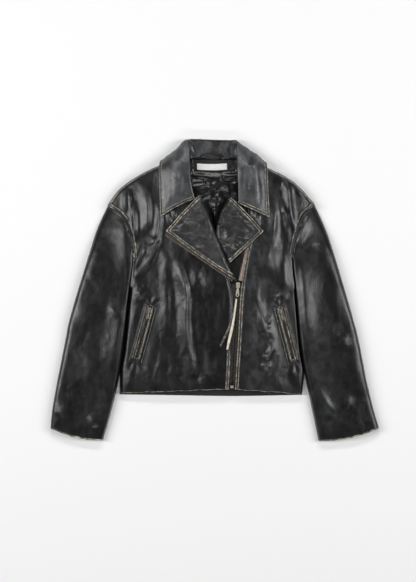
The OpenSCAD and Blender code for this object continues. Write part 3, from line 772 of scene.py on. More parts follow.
def metal(name, pale, dull, rough):
    """Tarnished pale brass."""
    m = Look(name)
    tarnish = m.ramp(m.noise(300, 4, 0.65), 0.4, 0.68)
    roughness = m.add(m.mul(tarnish, 0.25), rough)
    return m.finish(m.blend(tarnish, pale, dull), roughness, m.noise(900, 2), 0.2, 0.0001, Metallic=1.0)


def suede(name, pale, dirty):
    m = Look(name)
    share = m.ramp(m.noise(120, 4, 0.65), 0.35, 0.7)
    return m.finish(m.blend(share, pale, dirty), 0.8, m.noise(900, 4), 0.5, 0.0003, Sheen_Weight=0.2)


def thread(name, dark, paler):
    """Black sewing thread, faded to its cream core in places."""
    m = Look(name)
    share = m.ramp(m.noise(42, 3, 0.6), 0.54, 0.66)
    return m.finish(m.blend(share, dark, paler), 0.7, m.wave(800.0, "DIAGONAL"), 0.4, 0.0002)


LEATHER = leather(
    "leather_worn_black", (0.0016, 0.0017, 0.002), (0.0045, 0.0048, 0.0058), (0.0065, 0.0057, 0.005))
# The lapel, collar and stand leathers are lighter grey copies of the body leather: painted sheen for the
# light these tilted pieces catch. The collar and stand also get a paler crest grey, which is painted
# highlight.
LAPEL_LEATHER = leather(
    "leather_lapel", (0.0045, 0.005, 0.006), (0.038, 0.04, 0.044), (0.04, 0.037, 0.034), 0.37)
LAPEL_BLACK = leather(
    "leather_lapel_dark", (0.002, 0.0022, 0.0027), (0.02, 0.0208, 0.023), (0.02, 0.0188, 0.017), 0.36)
COLLAR_LEATHER = leather(
    "leather_collar", (0.02, 0.0205, 0.0225), (0.066, 0.068, 0.073), (0.05, 0.048, 0.045), 0.35, 0.13)
STAND_LEATHER = leather(
    "leather_stand", (0.01, 0.0105, 0.012), (0.04, 0.041, 0.044), (0.04, 0.038, 0.035), 0.33, 0.15)
FACING = leather(
    "leather_facing", (0.003, 0.0028, 0.0026), (0.008, 0.0073, 0.0066), (0.011, 0.0095, 0.008), 0.5)
PLAIN_LEATHER = leather(
    "leather_plain", (0.0018, 0.0019, 0.0022), (0.005, 0.0053, 0.006), (0.008, 0.007, 0.006), lines=False)
THONG_LEATHER = leather(
    "leather_thong", (0.005, 0.005, 0.005), (0.013, 0.0125, 0.012), (0.02, 0.017, 0.014), 0.5)
SATIN = satin("lining_satin", (0.0025, 0.0025, 0.003), (0.006, 0.006, 0.0068))
TAPE = woven("zip_tape_cloth", (0.004, 0.0036, 0.0034), (0.016, 0.014, 0.0125), 900)
DUSTY_TAPE = woven("zip_tape_dusty", (0.012, 0.0095, 0.0085), (0.085, 0.066, 0.056), 900)
WORN_TAPE = woven("zip_tape_worn", (0.16, 0.115, 0.1), (0.46, 0.36, 0.31), 900)
LABEL = woven("label_cloth", (0.85, 0.84, 0.82), (0.98, 0.97, 0.95), 1100)
BRASS = metal("zip_brass", (0.84, 0.79, 0.68), (0.5, 0.44, 0.33), 0.34)
DULL_BRASS = metal("zip_brass_dull", (0.36, 0.32, 0.25), (0.09, 0.075, 0.055), 0.36)
TEETH = metal("zip_teeth_brass", (0.2, 0.175, 0.135), (0.06, 0.05, 0.04), 0.38)
PALE_TEETH = metal("zip_teeth_pale", (0.44, 0.385, 0.32), (0.1, 0.085, 0.068), 0.4)
CREAM = suede("thong_suede", (0.74, 0.69, 0.58), (0.5, 0.45, 0.35))
THREAD = thread("stitching_thread", (0.006, 0.006, 0.006), (0.3, 0.26, 0.2))


def dress(obj, mat, slot):
    obj.data.materials.clear()
    obj.data.materials.append(mat)


def fit(obj, mat, slot, node_name, body="root"):
    """Dress a piece, put it on its body and let it stand in for a CAD node."""
    dress(obj, mat, slot)
    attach(obj, body)
    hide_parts(node_name)


# ---------------------------------------------------------------- cords


def make_thong(name, points, lift, widths, mat, slot):
    route = spline(points, np.linspace(0, 1, 48))
    path = np.column_stack([route, crown(route[:, 0], route[:, 1]) + lift])
    share = np.linspace(0, 1, len(path))
    obj = tube(name, path, np.interp(share, [0, 0.35, 0.7, 0.86, 1], widths), 0.8, 16, 3.2)
    fit(obj, mat, slot, name.replace("_tail", ""), "main_slider")


make_thong("thong_tail_cream", THONG_CREAM, 3.8, [1.8, 2.2, 3.2, 3.0, 2.0], CREAM, "thong_cream")
make_thong("thong_tail_black", THONG_BLACK, 1.9, [1.8, 1.9, 2.3, 2.2, 1.8], THONG_LEATHER, "thong_black")

# ---------------------------------------------------------------- back of the jacket

ROLL = EDGE_R * (1 - np.cos(np.linspace(0, math.pi / 2, 10)))
EDGE_STEPS = np.array([0, 0.7, 1.8, 3.2, 4.6, 5.6, 6.4, 7.4, 8.8])


def torso_grid(inset, step):
    """Plan of the back, with its shares across and up."""
    sides = []
    for k in (RIGHT, LEFT):
        lower = even(joined(side_by_side(SIDE_SEAM[k], -CLOSE), ARMHOLE[k]), 320)
        edge = np.concatenate([lower, even(SHOULDER[k], 140)[1:]]) + [inset, 0]
        sides.append(real(k, edge))
    neck = spline(NECK_SEAM, np.linspace(0.4, 0.6, 60))[:, :2]
    hem = even(BACK_HEM) + [0, inset]
    v = np.linspace(0, 1, int(720 / step))
    u = 0.5 - 0.5 * np.cos(np.linspace(0, math.pi, int(460 / step)))
    u = 0.5 * u + 0.5 * np.linspace(0, 1, len(u))
    uu, vv = np.meshgrid(u, v)
    first, last = sides[0].copy(), sides[1].copy()
    blend = np.linspace(1, 0, len(first))[:, None] ** 6
    first += blend * (hem[0] - first[0])
    last += blend * (hem[-1] - last[0])
    neck[0], neck[-1] = first[-1], last[-1]
    p = coons(hem, even(neck), first, last, uu, vv)
    return p, uu, vv


def make_back():
    p, uu, vv = torso_grid(0, 4.5)
    x, y = plan(p)
    inside = smooth(np.minimum(uu, 1 - uu), 0, 0.06) * smooth(vv, 0, 0.03) * smooth(1 - vv, 0, 0.05)
    creases = 1.4 * ridged(x / 70 + 0.4 * fbm(x / 90, y / 90, 5), y / 150, 71, 2)
    creases = creases + 0.5 * fbm(x / 30, y / 40, 73, 2) + 0.5
    z = 1.5 + back_rise(y) + 0.7 * inside * np.maximum(creases, 0)
    edge = np.minimum(uu, 1 - uu) * 420
    seam = np.minimum(edge, vv * BODY_TALL + 1.5)
    centre = np.abs(x) + 1.0
    grid = np.dstack([x, y, z])
    obj = shell("back_panel_leather", grid, 1.4, seam=np.minimum(seam, np.where(y > 190, FAR, centre + 20)))
    fit(obj, LEATHER, "leather", "back_panel")


def make_back_lining():
    p, uu, vv = torso_grid(9, 4.0)
    keep_rows = p[:, p.shape[1] // 2, 1] > -224
    p, uu, vv = p[keep_rows], uu[keep_rows], vv[keep_rows]
    x, y = plan(p)
    wx = x + 14 * fbm(x / 52, y / 52, 81, 2)
    wy = y + 14 * fbm(x / 52, y / 52, 82, 2)
    heavy = 1 - ridged(wx / 44, wy / 50, 83, 1) ** 0.6
    light = 1 - ridged(wx / 21, wy / 25, 84, 1) ** 0.7
    centre = 7 * bell(x, 6, 16) * smooth(y, 20, 120) * smooth(270 - y, 0, 60)
    crumple = 14 * heavy + 3.0 * light + centre
    seen = smooth(270 - np.abs(y - 150), 0, 120)
    flat = 1 - smooth(y, 268, 288) * smooth(64 - np.abs(x), 0, 14)
    inside = smooth(np.minimum(uu, 1 - uu), 0, 0.08) * smooth(1 - vv, 0, 0.06)
    z = 3.2 + back_rise(y) + crumple * mix(0.4, 1.0, seen) * inside * np.maximum(flat, 0.0)
    obj = shell("lining_back", np.dstack([x, y, z]), 0.5)
    fit(obj, SATIN, "lining", "back_lining")


def make_back_hem_facing():
    uu, vv = np.meshgrid(np.linspace(0, 1, 120), np.linspace(0, 1, 12))
    x, y = plan(at_share(even(BACK_HEM), uu))
    x, y = x * (1 - 0.02 * vv), y + 1.2 + 34 * vv
    z = 3.0 + 0.9 * fbm(x / 30, y / 20, 91, 2) * smooth(vv, 0, 0.3) + 0.9 * smooth(vv, 0, 0.3)
    z = z + turned_edge(35 * vv) * 0.4
    obj = shell("hem_facing_back_leather", np.dstack([x, y, z]), 0.9, seam=np.abs(35 * vv - 4) + 0.7)
    fit(obj, FACING, "leather_facing", "hem_facing_back")


# ---------------------------------------------------------------- fronts


def front_patch(k, w, h):
    """Plan of a front at shares w from the side and h from the hem, in the jacket's frame."""
    ww, hh = np.meshgrid(w, h)
    side = even(joined(side_by_side(SIDE_SEAM[k], -CLOSE), ARMHOLE[k]))
    p = coons(even(FRONT_HEM[k]), even(SHOULDER[k]), side, even(FRONT_EDGE[k]), ww, hh)
    return real(k, p), ww, hh


def front_height(k, p, ww, hh, drop=0.0, relief=1.0):
    x, y = plan(p)
    from_side = ww * FRONT_WIDE + np.maximum(0, hh - 0.52) * 520
    from_shoulder = (1 - hh) * SHOULDER_RUN
    base = 1.3 + back_rise(y)
    roll = rolled(from_side) * rolled(from_shoulder)
    z = base + (crown(x, y) - base) * roll
    hold = smooth(from_side, 2, 26) * smooth(from_shoulder, 2, 26) * smooth(hh * BODY_TALL, 0, 30)
    hold = mix(0.25, 1.0, hold) * smooth(ww * FRONT_WIDE, 0, 12)
    near_zip = mix(0.5, 1, smooth((1 - ww) * FRONT_WIDE, 0, 25))
    return z + relief * hold * front_relief(k, x, y) * near_zip - drop


def pocket_frame(k):
    """Origin and axes of a pocket zip, as the CAD part places it: y points back up along the zip, z out."""
    return zip_frame(POCKET_TOP[k], POCKET_BOTTOM[k], k)


def zip_frame(top, bottom, k=RIGHT):
    a, b = [Vector((x, y, float(crown(x, y)))) for x, y in (top, bottom)]
    d = a - b
    slope = -2 * CROWN_DROP * (a.x + b.x) / 2 / CROWN_HALF**2
    turn = Matrix.Rotation(-math.atan2(d.x, d.y), 3, "Z")
    turn = turn @ Matrix.Rotation(math.atan2(d.z, math.hypot(d.x, d.y)), 3, "X")
    turn = turn @ Matrix.Rotation(-math.atan(slope), 3, "Y")
    axes, origin = np.array(turn), np.array(a)

    def place(local):
        return real(k, np.asarray(local, float) @ axes.T + origin)

    return place, (a - b).length


def make_front(k):
    w = np.concatenate([
        ROLL / FRONT_WIDE,
        np.linspace(EDGE_R / FRONT_WIDE, 1 - 10 / FRONT_WIDE, 82)[1:],
        1 - EDGE_STEPS[::-1] / FRONT_WIDE,
    ])
    h = np.concatenate([
        EDGE_STEPS / BODY_TALL,
        np.linspace(10.5 / BODY_TALL, 1 - EDGE_R / SHOULDER_RUN, 172),
        1 - ROLL[::-1][1:] / SHOULDER_RUN,
    ])
    p, ww, hh = front_patch(k, w, h)
    x, y = plan(p)
    z = front_height(k, p, ww, hh)
    free_line = even(FRONT_EDGE[k], 60)[: 34 if k == RIGHT else 42]
    lines = (free_line, even(ARMHOLE[k], 30)[3:], even(SHOULDER[k], 30)[:-2])
    free, armhole, shoulder = [plan_dist(real(k, line), p) for line in lines]
    z = z + turned_edge(np.minimum(free, armhole)) * smooth((1 - hh) * SHOULDER_RUN, 3, 14)
    grid = np.dstack([x, y, z])
    grid[..., 1] += 1.2 * fbm(x / 20, 0 * y, 7 + k, 2) * (1 - smooth(hh * BODY_TALL, 0, 20))
    stitch_lines = [
        at_distance(grid, free, STITCH_IN), at_distance(grid[:, ::-1], armhole[:, ::-1], STITCH_IN),
    ]
    if k == RIGHT:
        free = free + FAR * smooth(y, -150, -110)
    wall = 3 * np.maximum(0, z[-len(ROLL)] - 5.5 - z) * (hh > 0.5)
    edge = np.minimum(free, np.minimum(armhole, shoulder) + wall)
    seam = np.minimum(hh * BODY_TALL + 0.4, np.where(hh < 0.09, ww * FRONT_WIDE + 0.6, FAR))
    place, _ = pocket_frame(k)
    slot = [place([0, 0, 0])[:2], place([0, -POCKET_L, 0])[:2]]
    d, _, along = near_line(slot, *plan((grid[:-1, :-1] + grid[1:, 1:]) / 2))
    keep = ~((d < 8) & (along > 0.012) & (along < 0.988))
    # Grey on fold crests and along the front's band: partly rubbed wear, partly painted highlight.
    line, reach, share = FRONT_WEAR_AND_SHEEN[k]
    ridge = np.maximum(crest(front_relief, k, x, y), share * paler(x, y, line, reach, 401 + k))
    name = SIDE_NAME[k]
    obj = shell(f"front_{name}_leather", grid, 1.6, edge, seam, keep, ridge, side=k)
    fit(obj, LEATHER, "leather", f"front_panel_{name}")
    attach(stitches(f"front_{name}_stitches", stitch_lines), "root")


def make_inner_front(name, k, w, h, drop, thickness, mat, slot, node_name, waves):
    p, ww, hh = front_patch(k, w, h)
    x, y = plan(p)
    z = front_height(k, p, ww, hh, drop, 0.0) + waves * fbm(x / 30, y / 40, 101 + k, 3)
    obj = shell(name, np.dstack([x, y, z]), thickness, seam=(hh - h[0]) * BODY_TALL + 0.6, side=k)
    fit(obj, mat, slot, node_name)


def make_underlap():
    u, v = np.meshgrid(np.linspace(0, 1, 26), np.linspace(0, 1, 120))
    p = mix(at_share(even(UNDERLAP_INNER), v), at_share(even(UNDERLAP_OUTER), v), u[..., None])
    x, y = plan(p)
    z = crown(x, y) - 6.2 + 0.9 * fbm(x / 26, y / 40, 111, 3) + 1.6 * ridged(x / 40, y / 70, 112, 2) - 1.2
    obj = shell("underlap_leather", np.dstack([x, y, z]), 1.5, edge=u * 72)
    fit(obj, LEATHER, "leather", "underlap_panel")


def make_armhole_seam(k):
    line = real(k, at_share(even(ARMHOLE[k]), np.linspace(0.1, 0.88, 60)))
    path = np.column_stack([line, crown(line[:, 0], line[:, 1]) + 1.5])
    fade = smooth(np.linspace(0, 1, 60), 0, 0.12)
    path[:, 2] -= 6 * (1 - fade)
    obj = tube(f"armhole_piping_{SIDE_NAME[k]}", path, 1.5, 1.0, 10)
    fit(obj, PLAIN_LEATHER, "leather", f"armhole_seam_{SIDE_NAME[k]}")


# ---------------------------------------------------------------- lapels


def make_lapel(k):
    b, t = np.array(LAPEL_B[k], float), np.array(LAPEL_T[k], float)
    roll = even(LAPEL_ROLL[k])
    if k == RIGHT:
        b, t = b + [-1, 8], t + [5, 7.5]
    r = roll[-1]
    lower, upper = np.linalg.norm(t - b), np.linalg.norm(r - t)
    corner = lower / (lower + upper)
    v = np.concatenate([np.linspace(0, corner, 58)[:-1], np.linspace(corner, 1, 46)])
    v[0], v[-1] = 0.004, 0.996
    lower_line = even([b, mix(b, t, 0.5) + ([-1.5, -2.0] if k == RIGHT else [1.5, -1.5]), t])
    upper_line = even([t, mix(t, r, 0.5) + [-1.2, 1.2], r])
    outer = np.where(
        (v <= corner)[:, None],
        at_share(lower_line, np.minimum(v / corner, 1)),
        at_share(upper_line, np.clip((v - corner) / (1 - corner), 0, 1)),
    )
    inner = at_share(roll, v)
    width = np.linalg.norm(outer - inner, axis=1)[:, None]
    squeeze = np.minimum(1, width / 24)
    head = ROLL[None, :] * 0.5 * squeeze
    tail = width - EDGE_STEPS[::-1][None, :] * squeeze
    middle = mix(head[:, -1:], tail[:, :1], np.linspace(0, 1, 34)[None, 1:-1])
    run = np.concatenate([head, middle, tail], axis=1)
    u = run / np.maximum(width, 1e-6)
    p = real(k, mix(inner[:, None], outer[:, None], u[..., None]))
    x, y = plan(p)
    free = real(k, np.concatenate([lower_line, upper_line[1:]]))
    edge = plan_dist(free[::8], p)
    wx, wy = x + 9 * fbm(x / 26, y / 26, 127 + k, 2), y + 9 * fbm(x / 26, y / 26, 129 + k, 2)
    soft = 1.3 * fbm(wx / 15, wy / 10, 121 + k, 3) + 3.2 * fbm(wx / 44, wy / 34, 123 + k, 2)
    crease = 2.0 * ridged(wx / 34 + 0.35 * wy / 30, wy / 15 - 0.2 * wx / 30, 125 + k, 2)
    for points, height, left, right in LAPEL_FOLDS[k]:
        crease = crease + fold(x, y, points, height, left, right)
    puff = smooth(edge, 4, 20)
    z = crown(x, y) + 2.6 + puff * (1.0 + soft + crease) + turned_edge(edge) * 0.8
    z = z + 2.6 * bell(run, 0, 26) * smooth(width, 4, 40)
    z = z - 7.0 * (1 - np.sqrt(1 - (1 - np.clip(run / 8.5, 0, 1)) ** 2)) * squeeze
    seam_line = at_distance(np.dstack([x, y, z])[6:-4], edge[6:-4], STITCH_IN)
    name = SIDE_NAME[k]
    obj = shell(f"lapel_{name}_leather", np.dstack([x, y, z]), 2.2, edge, side=k, weld=True)
    dress(obj, LAPEL_LEATHER if k == RIGHT else LAPEL_BLACK, "leather")
    thread_row = stitches(f"lapel_{name}_stitches", [seam_line])
    top, bottom = np.array(LAPEL_G[k], float), np.array(LAPEL_B[k], float)
    across = 7 * unit(np.array([bottom[1] - top[1], top[0] - bottom[0]]))
    start = real(k, mix(top, bottom, 0.5) - across) * MM
    end = real(k, mix(top, bottom, 0.5) + across) * MM
    for part in (obj, thread_row):
        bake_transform(part)
    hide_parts(f"lapel_base_{name}", f"lapel_flap_{name}")


# ---------------------------------------------------------------- collar


def make_collar():
    ends = EDGE_STEPS / 900
    u = np.concatenate([ends, np.linspace(10 / 900, 1 - 10 / 900, 210), 1 - ends[::-1]])
    v = np.concatenate([EDGE_STEPS / 90, np.linspace(11 / 90, 1, 30)])
    uu, vv = np.meshgrid(u, v)
    a, c, b = spline(LEAF_EDGE, uu), spline(LEAF_CROWN, uu), spline(COLLAR_FOLD, uu)
    t = vv[..., None]
    p = mix(mix(a, c, t), mix(c, b, t), t)
    n = grid_normals(p)
    sign = np.sign(n[10, 40, 2])
    n = n * sign
    x, y = plan(p)
    rim = np.concatenate([p[:, 0][::-1], p[0], p[:, -1]])
    edge = dist3(rim[::3], p)
    streak = 3.4 * fbm(x / 24, y / 90, 131, 2) + 1.1 * fbm(x / 9 + y / 90, y / 40, 133, 2)
    streak = streak + 0.35 * fbm(x / 6, y / 8, 134, 2)
    dip = streak * smooth(edge, 3, 20) * smooth(1 - vv, 0, 0.2)
    p = p + n * (dip + 0.8 * turned_edge(edge))[..., None]
    across = p.transpose(1, 0, 2)[:, ::-1]
    leaf_row = at_distance(across, edge.T[:, ::-1], STITCH_IN)
    # Lighter grey painted on the raised collar streaks: painted highlight.
    streak_sheen = smooth(streak, 0.2, 2.6) * smooth(edge, 2, 16)
    if sign < 0:
        p, edge, streak_sheen = p[:, ::-1], edge[:, ::-1], streak_sheen[:, ::-1]
    obj = shell("collar_leather", p, 2.0, edge, ridge=streak_sheen)
    fit(obj, COLLAR_LEATHER, "leather", "collar_leaf")
    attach(stitches("collar_stitches", [leaf_row]), "root")


def make_stand():
    u, v = np.meshgrid(np.linspace(0, 1, 190), np.linspace(0, 1, 20))
    a, b = spline(NECK_SEAM, u), spline(COLLAR_FOLD, u) - [0, 0, 2.0]
    p = mix(a, b, (0.02 + 0.93 * v)[..., None])
    n = grid_normals(p)
    wave = 3.2 * fbm(u * 34, v * 1.2, 141, 2) + 0.9 * fbm(u * 80, v * 2, 142, 2)
    p = p + n * (wave * smooth(v, 0, 0.2) * smooth(1 - v, 0, 0.15))[..., None]
    # Lighter grey painted on the raised stand streaks: painted highlight.
    streak_sheen = smooth(wave, -0.2, 2.2) * smooth(v, 0.05, 0.3)
    obj = shell("collar_stand_leather", p, 1.5, ridge=streak_sheen)
    fit(obj, STAND_LEATHER, "leather", "collar_stand")


def make_neck():
    """Leather patch inside the neck, blank label and hanger loop."""
    u, v = np.meshgrid(np.linspace(-1, 1, 70), np.linspace(0, 1, 24))
    x = 58 * u
    low = 287 + 5 * u**2 + 1.2 * fbm(x / 14, 0 * x, 151, 2)
    y = mix(low, 313.0, v)
    z = 4.1 + back_rise(y) + 1.7 * fbm(x / 13, y / 9, 152, 3) * smooth(np.abs(x + 7), 34, 44)
    facing = shell("neck_facing_leather", np.dstack([x, y, z]), 0.7)
    fit(facing, FACING, "leather_facing", "neck_facing")
    u, v = np.meshgrid(np.linspace(-1, 1, 60), np.linspace(0, 1, 16))
    x = -6 + 36 * u + 0.3 * fbm(v * 3, u * 2, 153, 2)
    y = 290.3 + 14.6 * v + 1.6 * u**2 - 0.8
    z = 5.0 + back_rise(y) + 0.5 * (1 - u**2) + 0.2 * fbm(x / 9, y / 9, 154, 2)
    label = shell("neck_label_blank", np.dstack([x, y, z]), 0.5)
    fit(label, LABEL, "label", "neck_label")
    angle = np.linspace(0.04, math.pi - 0.04, 60)
    rise = 13 * np.sin(angle) ** 0.8
    path = np.column_stack([25 * np.cos(angle) - 9, 315 + rise, 10.6 + 0.42 * rise])
    loop = tube("hanger_loop_cord", path, 1.8, 1.3, 12)
    fit(loop, PLAIN_LEATHER, "loop", "hanger_loop")


# ---------------------------------------------------------------- sleeves


def sleeve_curves(k):
    """The cuff, the armhole and the sleeve's outer and inner edges."""
    hole = [np.array(ARMHOLE[k][j], float) + (UNDERARM if j == 0 else [1.4, -0.4]) for j in (4, 3, 2, 1, 0)]
    outer = [np.array(q, float) for q in SLEEVE_OUTER[k] + CAP_OUTER[k]]
    outer[-1] = outer[-1] + hole[0] - np.array(CAP_OUTER[k][-1], float)
    inner = side_by_side(SLEEVE_INNER[k], CLOSE) + [ELBOW_PIT[k], hole[-1]]
    inner = [np.array(q, float) for q in inner]
    cuff = [outer[0], mix(outer[0], inner[0], 0.5) - [2, 7.5], inner[0]]
    return even(cuff), even(hole), even(outer), even(inner)


def sleeve_tube(k, v, around, inset, drop, relief):
    """Grid of a closed sleeve tube; inset and drop bring a lining inside the leather."""
    t = np.linspace(0, 1, around, endpoint=False)
    across = 0.5 - 0.5 * np.cos(math.pi * np.where(t < 0.5, 2 * t, 2 - 2 * t))
    ww, vv = np.meshgrid(mix(inset, 1 - inset, across), v)
    over = np.broadcast_to(t < 0.5, ww.shape)
    x, y = plan(real(k, coons(*sleeve_curves(k), ww, vv)))
    to_hole = (1 - vv) * SLEEVE_LONG
    squareness = mix(22.0, 3.2, smooth(vv, 0.6, 1))
    from_middle = np.abs(2 * across - 1)
    tubeness = np.sqrt(np.clip(1 - from_middle**squareness, 0, 1))
    loft = mix(CUFF_LOFT, SLEEVE_LOFT, smooth(vv, 0, 0.7))
    loft = mix(loft, crown(x, y) - 2.2, 1 - smooth(to_hole, 0, 120))
    edge_z = 1.4 + inset * 40
    top = edge_z + (loft - drop - edge_z) * tubeness
    bottom = edge_z * (1 - np.sqrt(np.clip(1 - from_middle**10, 0, 1))) + 0.1 + drop * 0.7
    folds = sleeve_relief(k, x, y) * smooth(to_hole, 0, 16) * mix(0.6, 1, smooth(vv * SLEEVE_LONG, 0, 30))
    z = np.where(over, top, bottom) + relief * over * smooth(tubeness, 0.2, 0.75) * folds
    below = (tubeness > 0.6) & ~over
    z = np.maximum(z, 0.05) + relief * below * 0.8 * ridged(x / 50, y / 60, 161 + k, 2)
    return np.dstack([x, y, z]), ww, vv


def sleeve_blend(obj, k):
    pivot = np.array(ARM_PIVOT[k], float)
    cuff_mid = mix(np.array(SLEEVE_OUTER[k][0], float), np.array(SLEEVE_INNER[k][0], float), 0.5)
    along = (cuff_mid - pivot) / np.linalg.norm(cuff_mid - pivot)
    start, end = real(k, pivot + 22 * along) * MM, real(k, pivot + 150 * along) * MM
    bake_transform(obj)


def make_sleeve(k):
    name = SIDE_NAME[k]
    cuff_rows = [0, 0.002, 0.005, 0.009, 0.0125, 0.016]
    v = np.concatenate([cuff_rows, np.linspace(0.022, 0.975, 150), [0.981, 0.987, 0.992, 0.996, 1.0]])
    grid, ww, vv = sleeve_tube(k, v, 112, 0.0, 0.0, 1.0)
    grid[..., 1] += (1 - smooth(vv, 0, 0.02)) * 1.6 * fbm(grid[..., 0] / 11, 0 * vv, 171 + k, 3)
    edge = plan_dist(real(k, even(ARMHOLE[k], 40))[4:], grid) + 0.2
    seam = np.maximum(vv * SLEEVE_LONG - 1.8, 0)
    # Grey on fold crests (partly rubbed wear, partly painted highlight) and along the inner sleeve band
    # (painted highlight).
    line, reach, share = SLEEVE_SHEEN_BANDS[k]
    x, y = plan(grid)
    ridge = np.maximum(crest(sleeve_relief, k, x, y), share * paler(x, y, line, reach, 405 + k))
    edge = np.where(edge < 3, FAR, edge + 2.2)
    ridge = ridge * (grid[..., 2] > 8)
    obj = shell(f"sleeve_{name}_leather", grid, 1.5, edge, seam, None, ridge, k, wrap=True)
    dress(obj, LEATHER, "leather")
    sleeve_blend(obj, k)
    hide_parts(*[f"sleeve_{part}_{name}" for part in ("cap", "cap_under", "top", "under")])
    for label, node_name, v0, v1, rows, inset, drop, mat, slot in (
        ("lining", "sleeve_lining", 0.075, 0.74, 70, 0.05, 4.2, SATIN, "lining"),
        ("cuff_facing", "cuff_facing", 0.004, 0.08, 12, 0.03, 2.6, FACING, "leather_facing"),
    ):
        inner, _, iv = sleeve_tube(k, np.linspace(v0, v1, rows), 72, inset, drop, 0.5)
        seam = (iv - v0) * SLEEVE_LONG + 1.2
        part = shell(f"sleeve_{name}_{label}", inner, 0.6, seam=seam, side=k, wrap=True)
        dress(part, mat, slot)
        sleeve_blend(part, k)
        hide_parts(f"{node_name}_{name}")


# ---------------------------------------------------------------- zips and pockets


def ribbon(name, line, across, width, rows=5):
    """Flat tape along a line, from the line outwards by width along across."""
    v = np.linspace(0, 1, len(line))
    u = np.linspace(0, width, rows)
    p = line[:, None] + across[:, None] * u[None, :, None]
    p[..., 2] += 0.08 * np.sin(v[:, None] * 90)
    n = grid_normals(p)
    if n[..., 2].mean() < 0:
        p = p[:, ::-1]
    return shell(name, p, TAPE_T)


def join(name, objects):
    """One mesh out of several."""
    bm = bmesh.new()
    for o in objects:
        bm.from_mesh(o.data)
        bpy.data.objects.remove(o)
    mesh = bpy.data.meshes.new(name)
    bm.to_mesh(mesh)
    bm.free()
    return add_object(name, mesh)


def straight_tapes(name, place, top, length, width, inner):
    parts = []
    for s in (-1, 1):
        y = np.linspace(top, top - length, max(int(length / 3), 4))
        x = s * (SLIT / 2 + TOOTH_W + 0.2 + inner)
        line = np.column_stack([np.full_like(y, x), y, np.full_like(y, -TAPE_Z)])
        out = np.array([[s, 0, 0]] * len(y), float)
        world, tip = place(line), place(line + out)
        parts.append(ribbon(f"{name}{s}", world, tip - world, width))
    return join(name, parts)


def make_main_zip():
    place, length = zip_frame(ZIP_TOP, ZIP_BOTTOM)
    tape = straight_tapes("main_zip_tape", place, 0, length, TAPE_W, 0.0)
    fit(tape, TAPE, "zip_tape", "zip_tapes")


def tooth_shape(wide, long, high):
    """Corners and faces of a small bevelled tooth, which has a nib towards the other row."""
    outline = [[0, -0.5], [0.62, -0.5], [0.8, -0.3], [1, -0.3], [1, 0.3], [0.8, 0.3], [0.62, 0.5], [0, 0.5]]
    corners = [
        [wide * (0.5 + (x - 0.5) * shrink), long * y * shrink, high * level]
        for level, shrink in ((-0.5, 0.82), (-0.32, 1), (0.32, 1), (0.5, 0.82)) for x, y in outline
    ]
    around = [(8 * level + j, 8 * level + (j + 1) % 8) for level in range(3) for j in range(8)]
    faces = [[a, b, b + 8, a + 8] for a, b in around]
    return np.array(corners), faces + [list(range(7, -1, -1)), list(range(24, 32))]


def make_open_zip(name, line, towards_teeth, lift, tape_from, tape_to, body, cloth, alloy, pitch=4.2):
    """An open half of the main zip: tape and teeth along a plan line."""
    length = np.linalg.norm(np.diff(line, axis=0), axis=1).sum()
    pts = at_share(line, np.linspace(0, 1, int(length / 3)))
    t = unit(np.gradient(pts, axis=0))
    out = np.column_stack([t[:, 1], -t[:, 0]])
    if (out @ np.array(towards_teeth)).mean() < 0:
        out = -out
    start = pts - out * tape_to
    high = np.column_stack([start, crown(start[:, 0], start[:, 1]) + lift])
    tape = ribbon(f"{name}_tape", high, np.column_stack([out, np.zeros(len(out))]), tape_to - tape_from, 4)
    fit(tape, cloth, "zip_tape", name, body)
    share = np.arange(0.5, int(length / pitch)) * pitch / length
    at = at_share(pts, share)
    along, side = unit(at_share(t, share)), unit(at_share(out, share))
    centres = np.column_stack([at - side * (tape_from + 0.2), crown(at[:, 0], at[:, 1]) + lift - 0.3])
    frames = np.zeros((len(at), 3, 3))
    frames[:, 0, :2], frames[:, 1, :2], frames[:, 2, 2] = side, along, 1
    teeth = face_outwards(repeat_shape(f"{name}_teeth", *tooth_shape(3.4, 2.3, 2.4), centres, frames, False))
    dress(teeth, alloy, "zip_metal")
    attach(teeth, body)


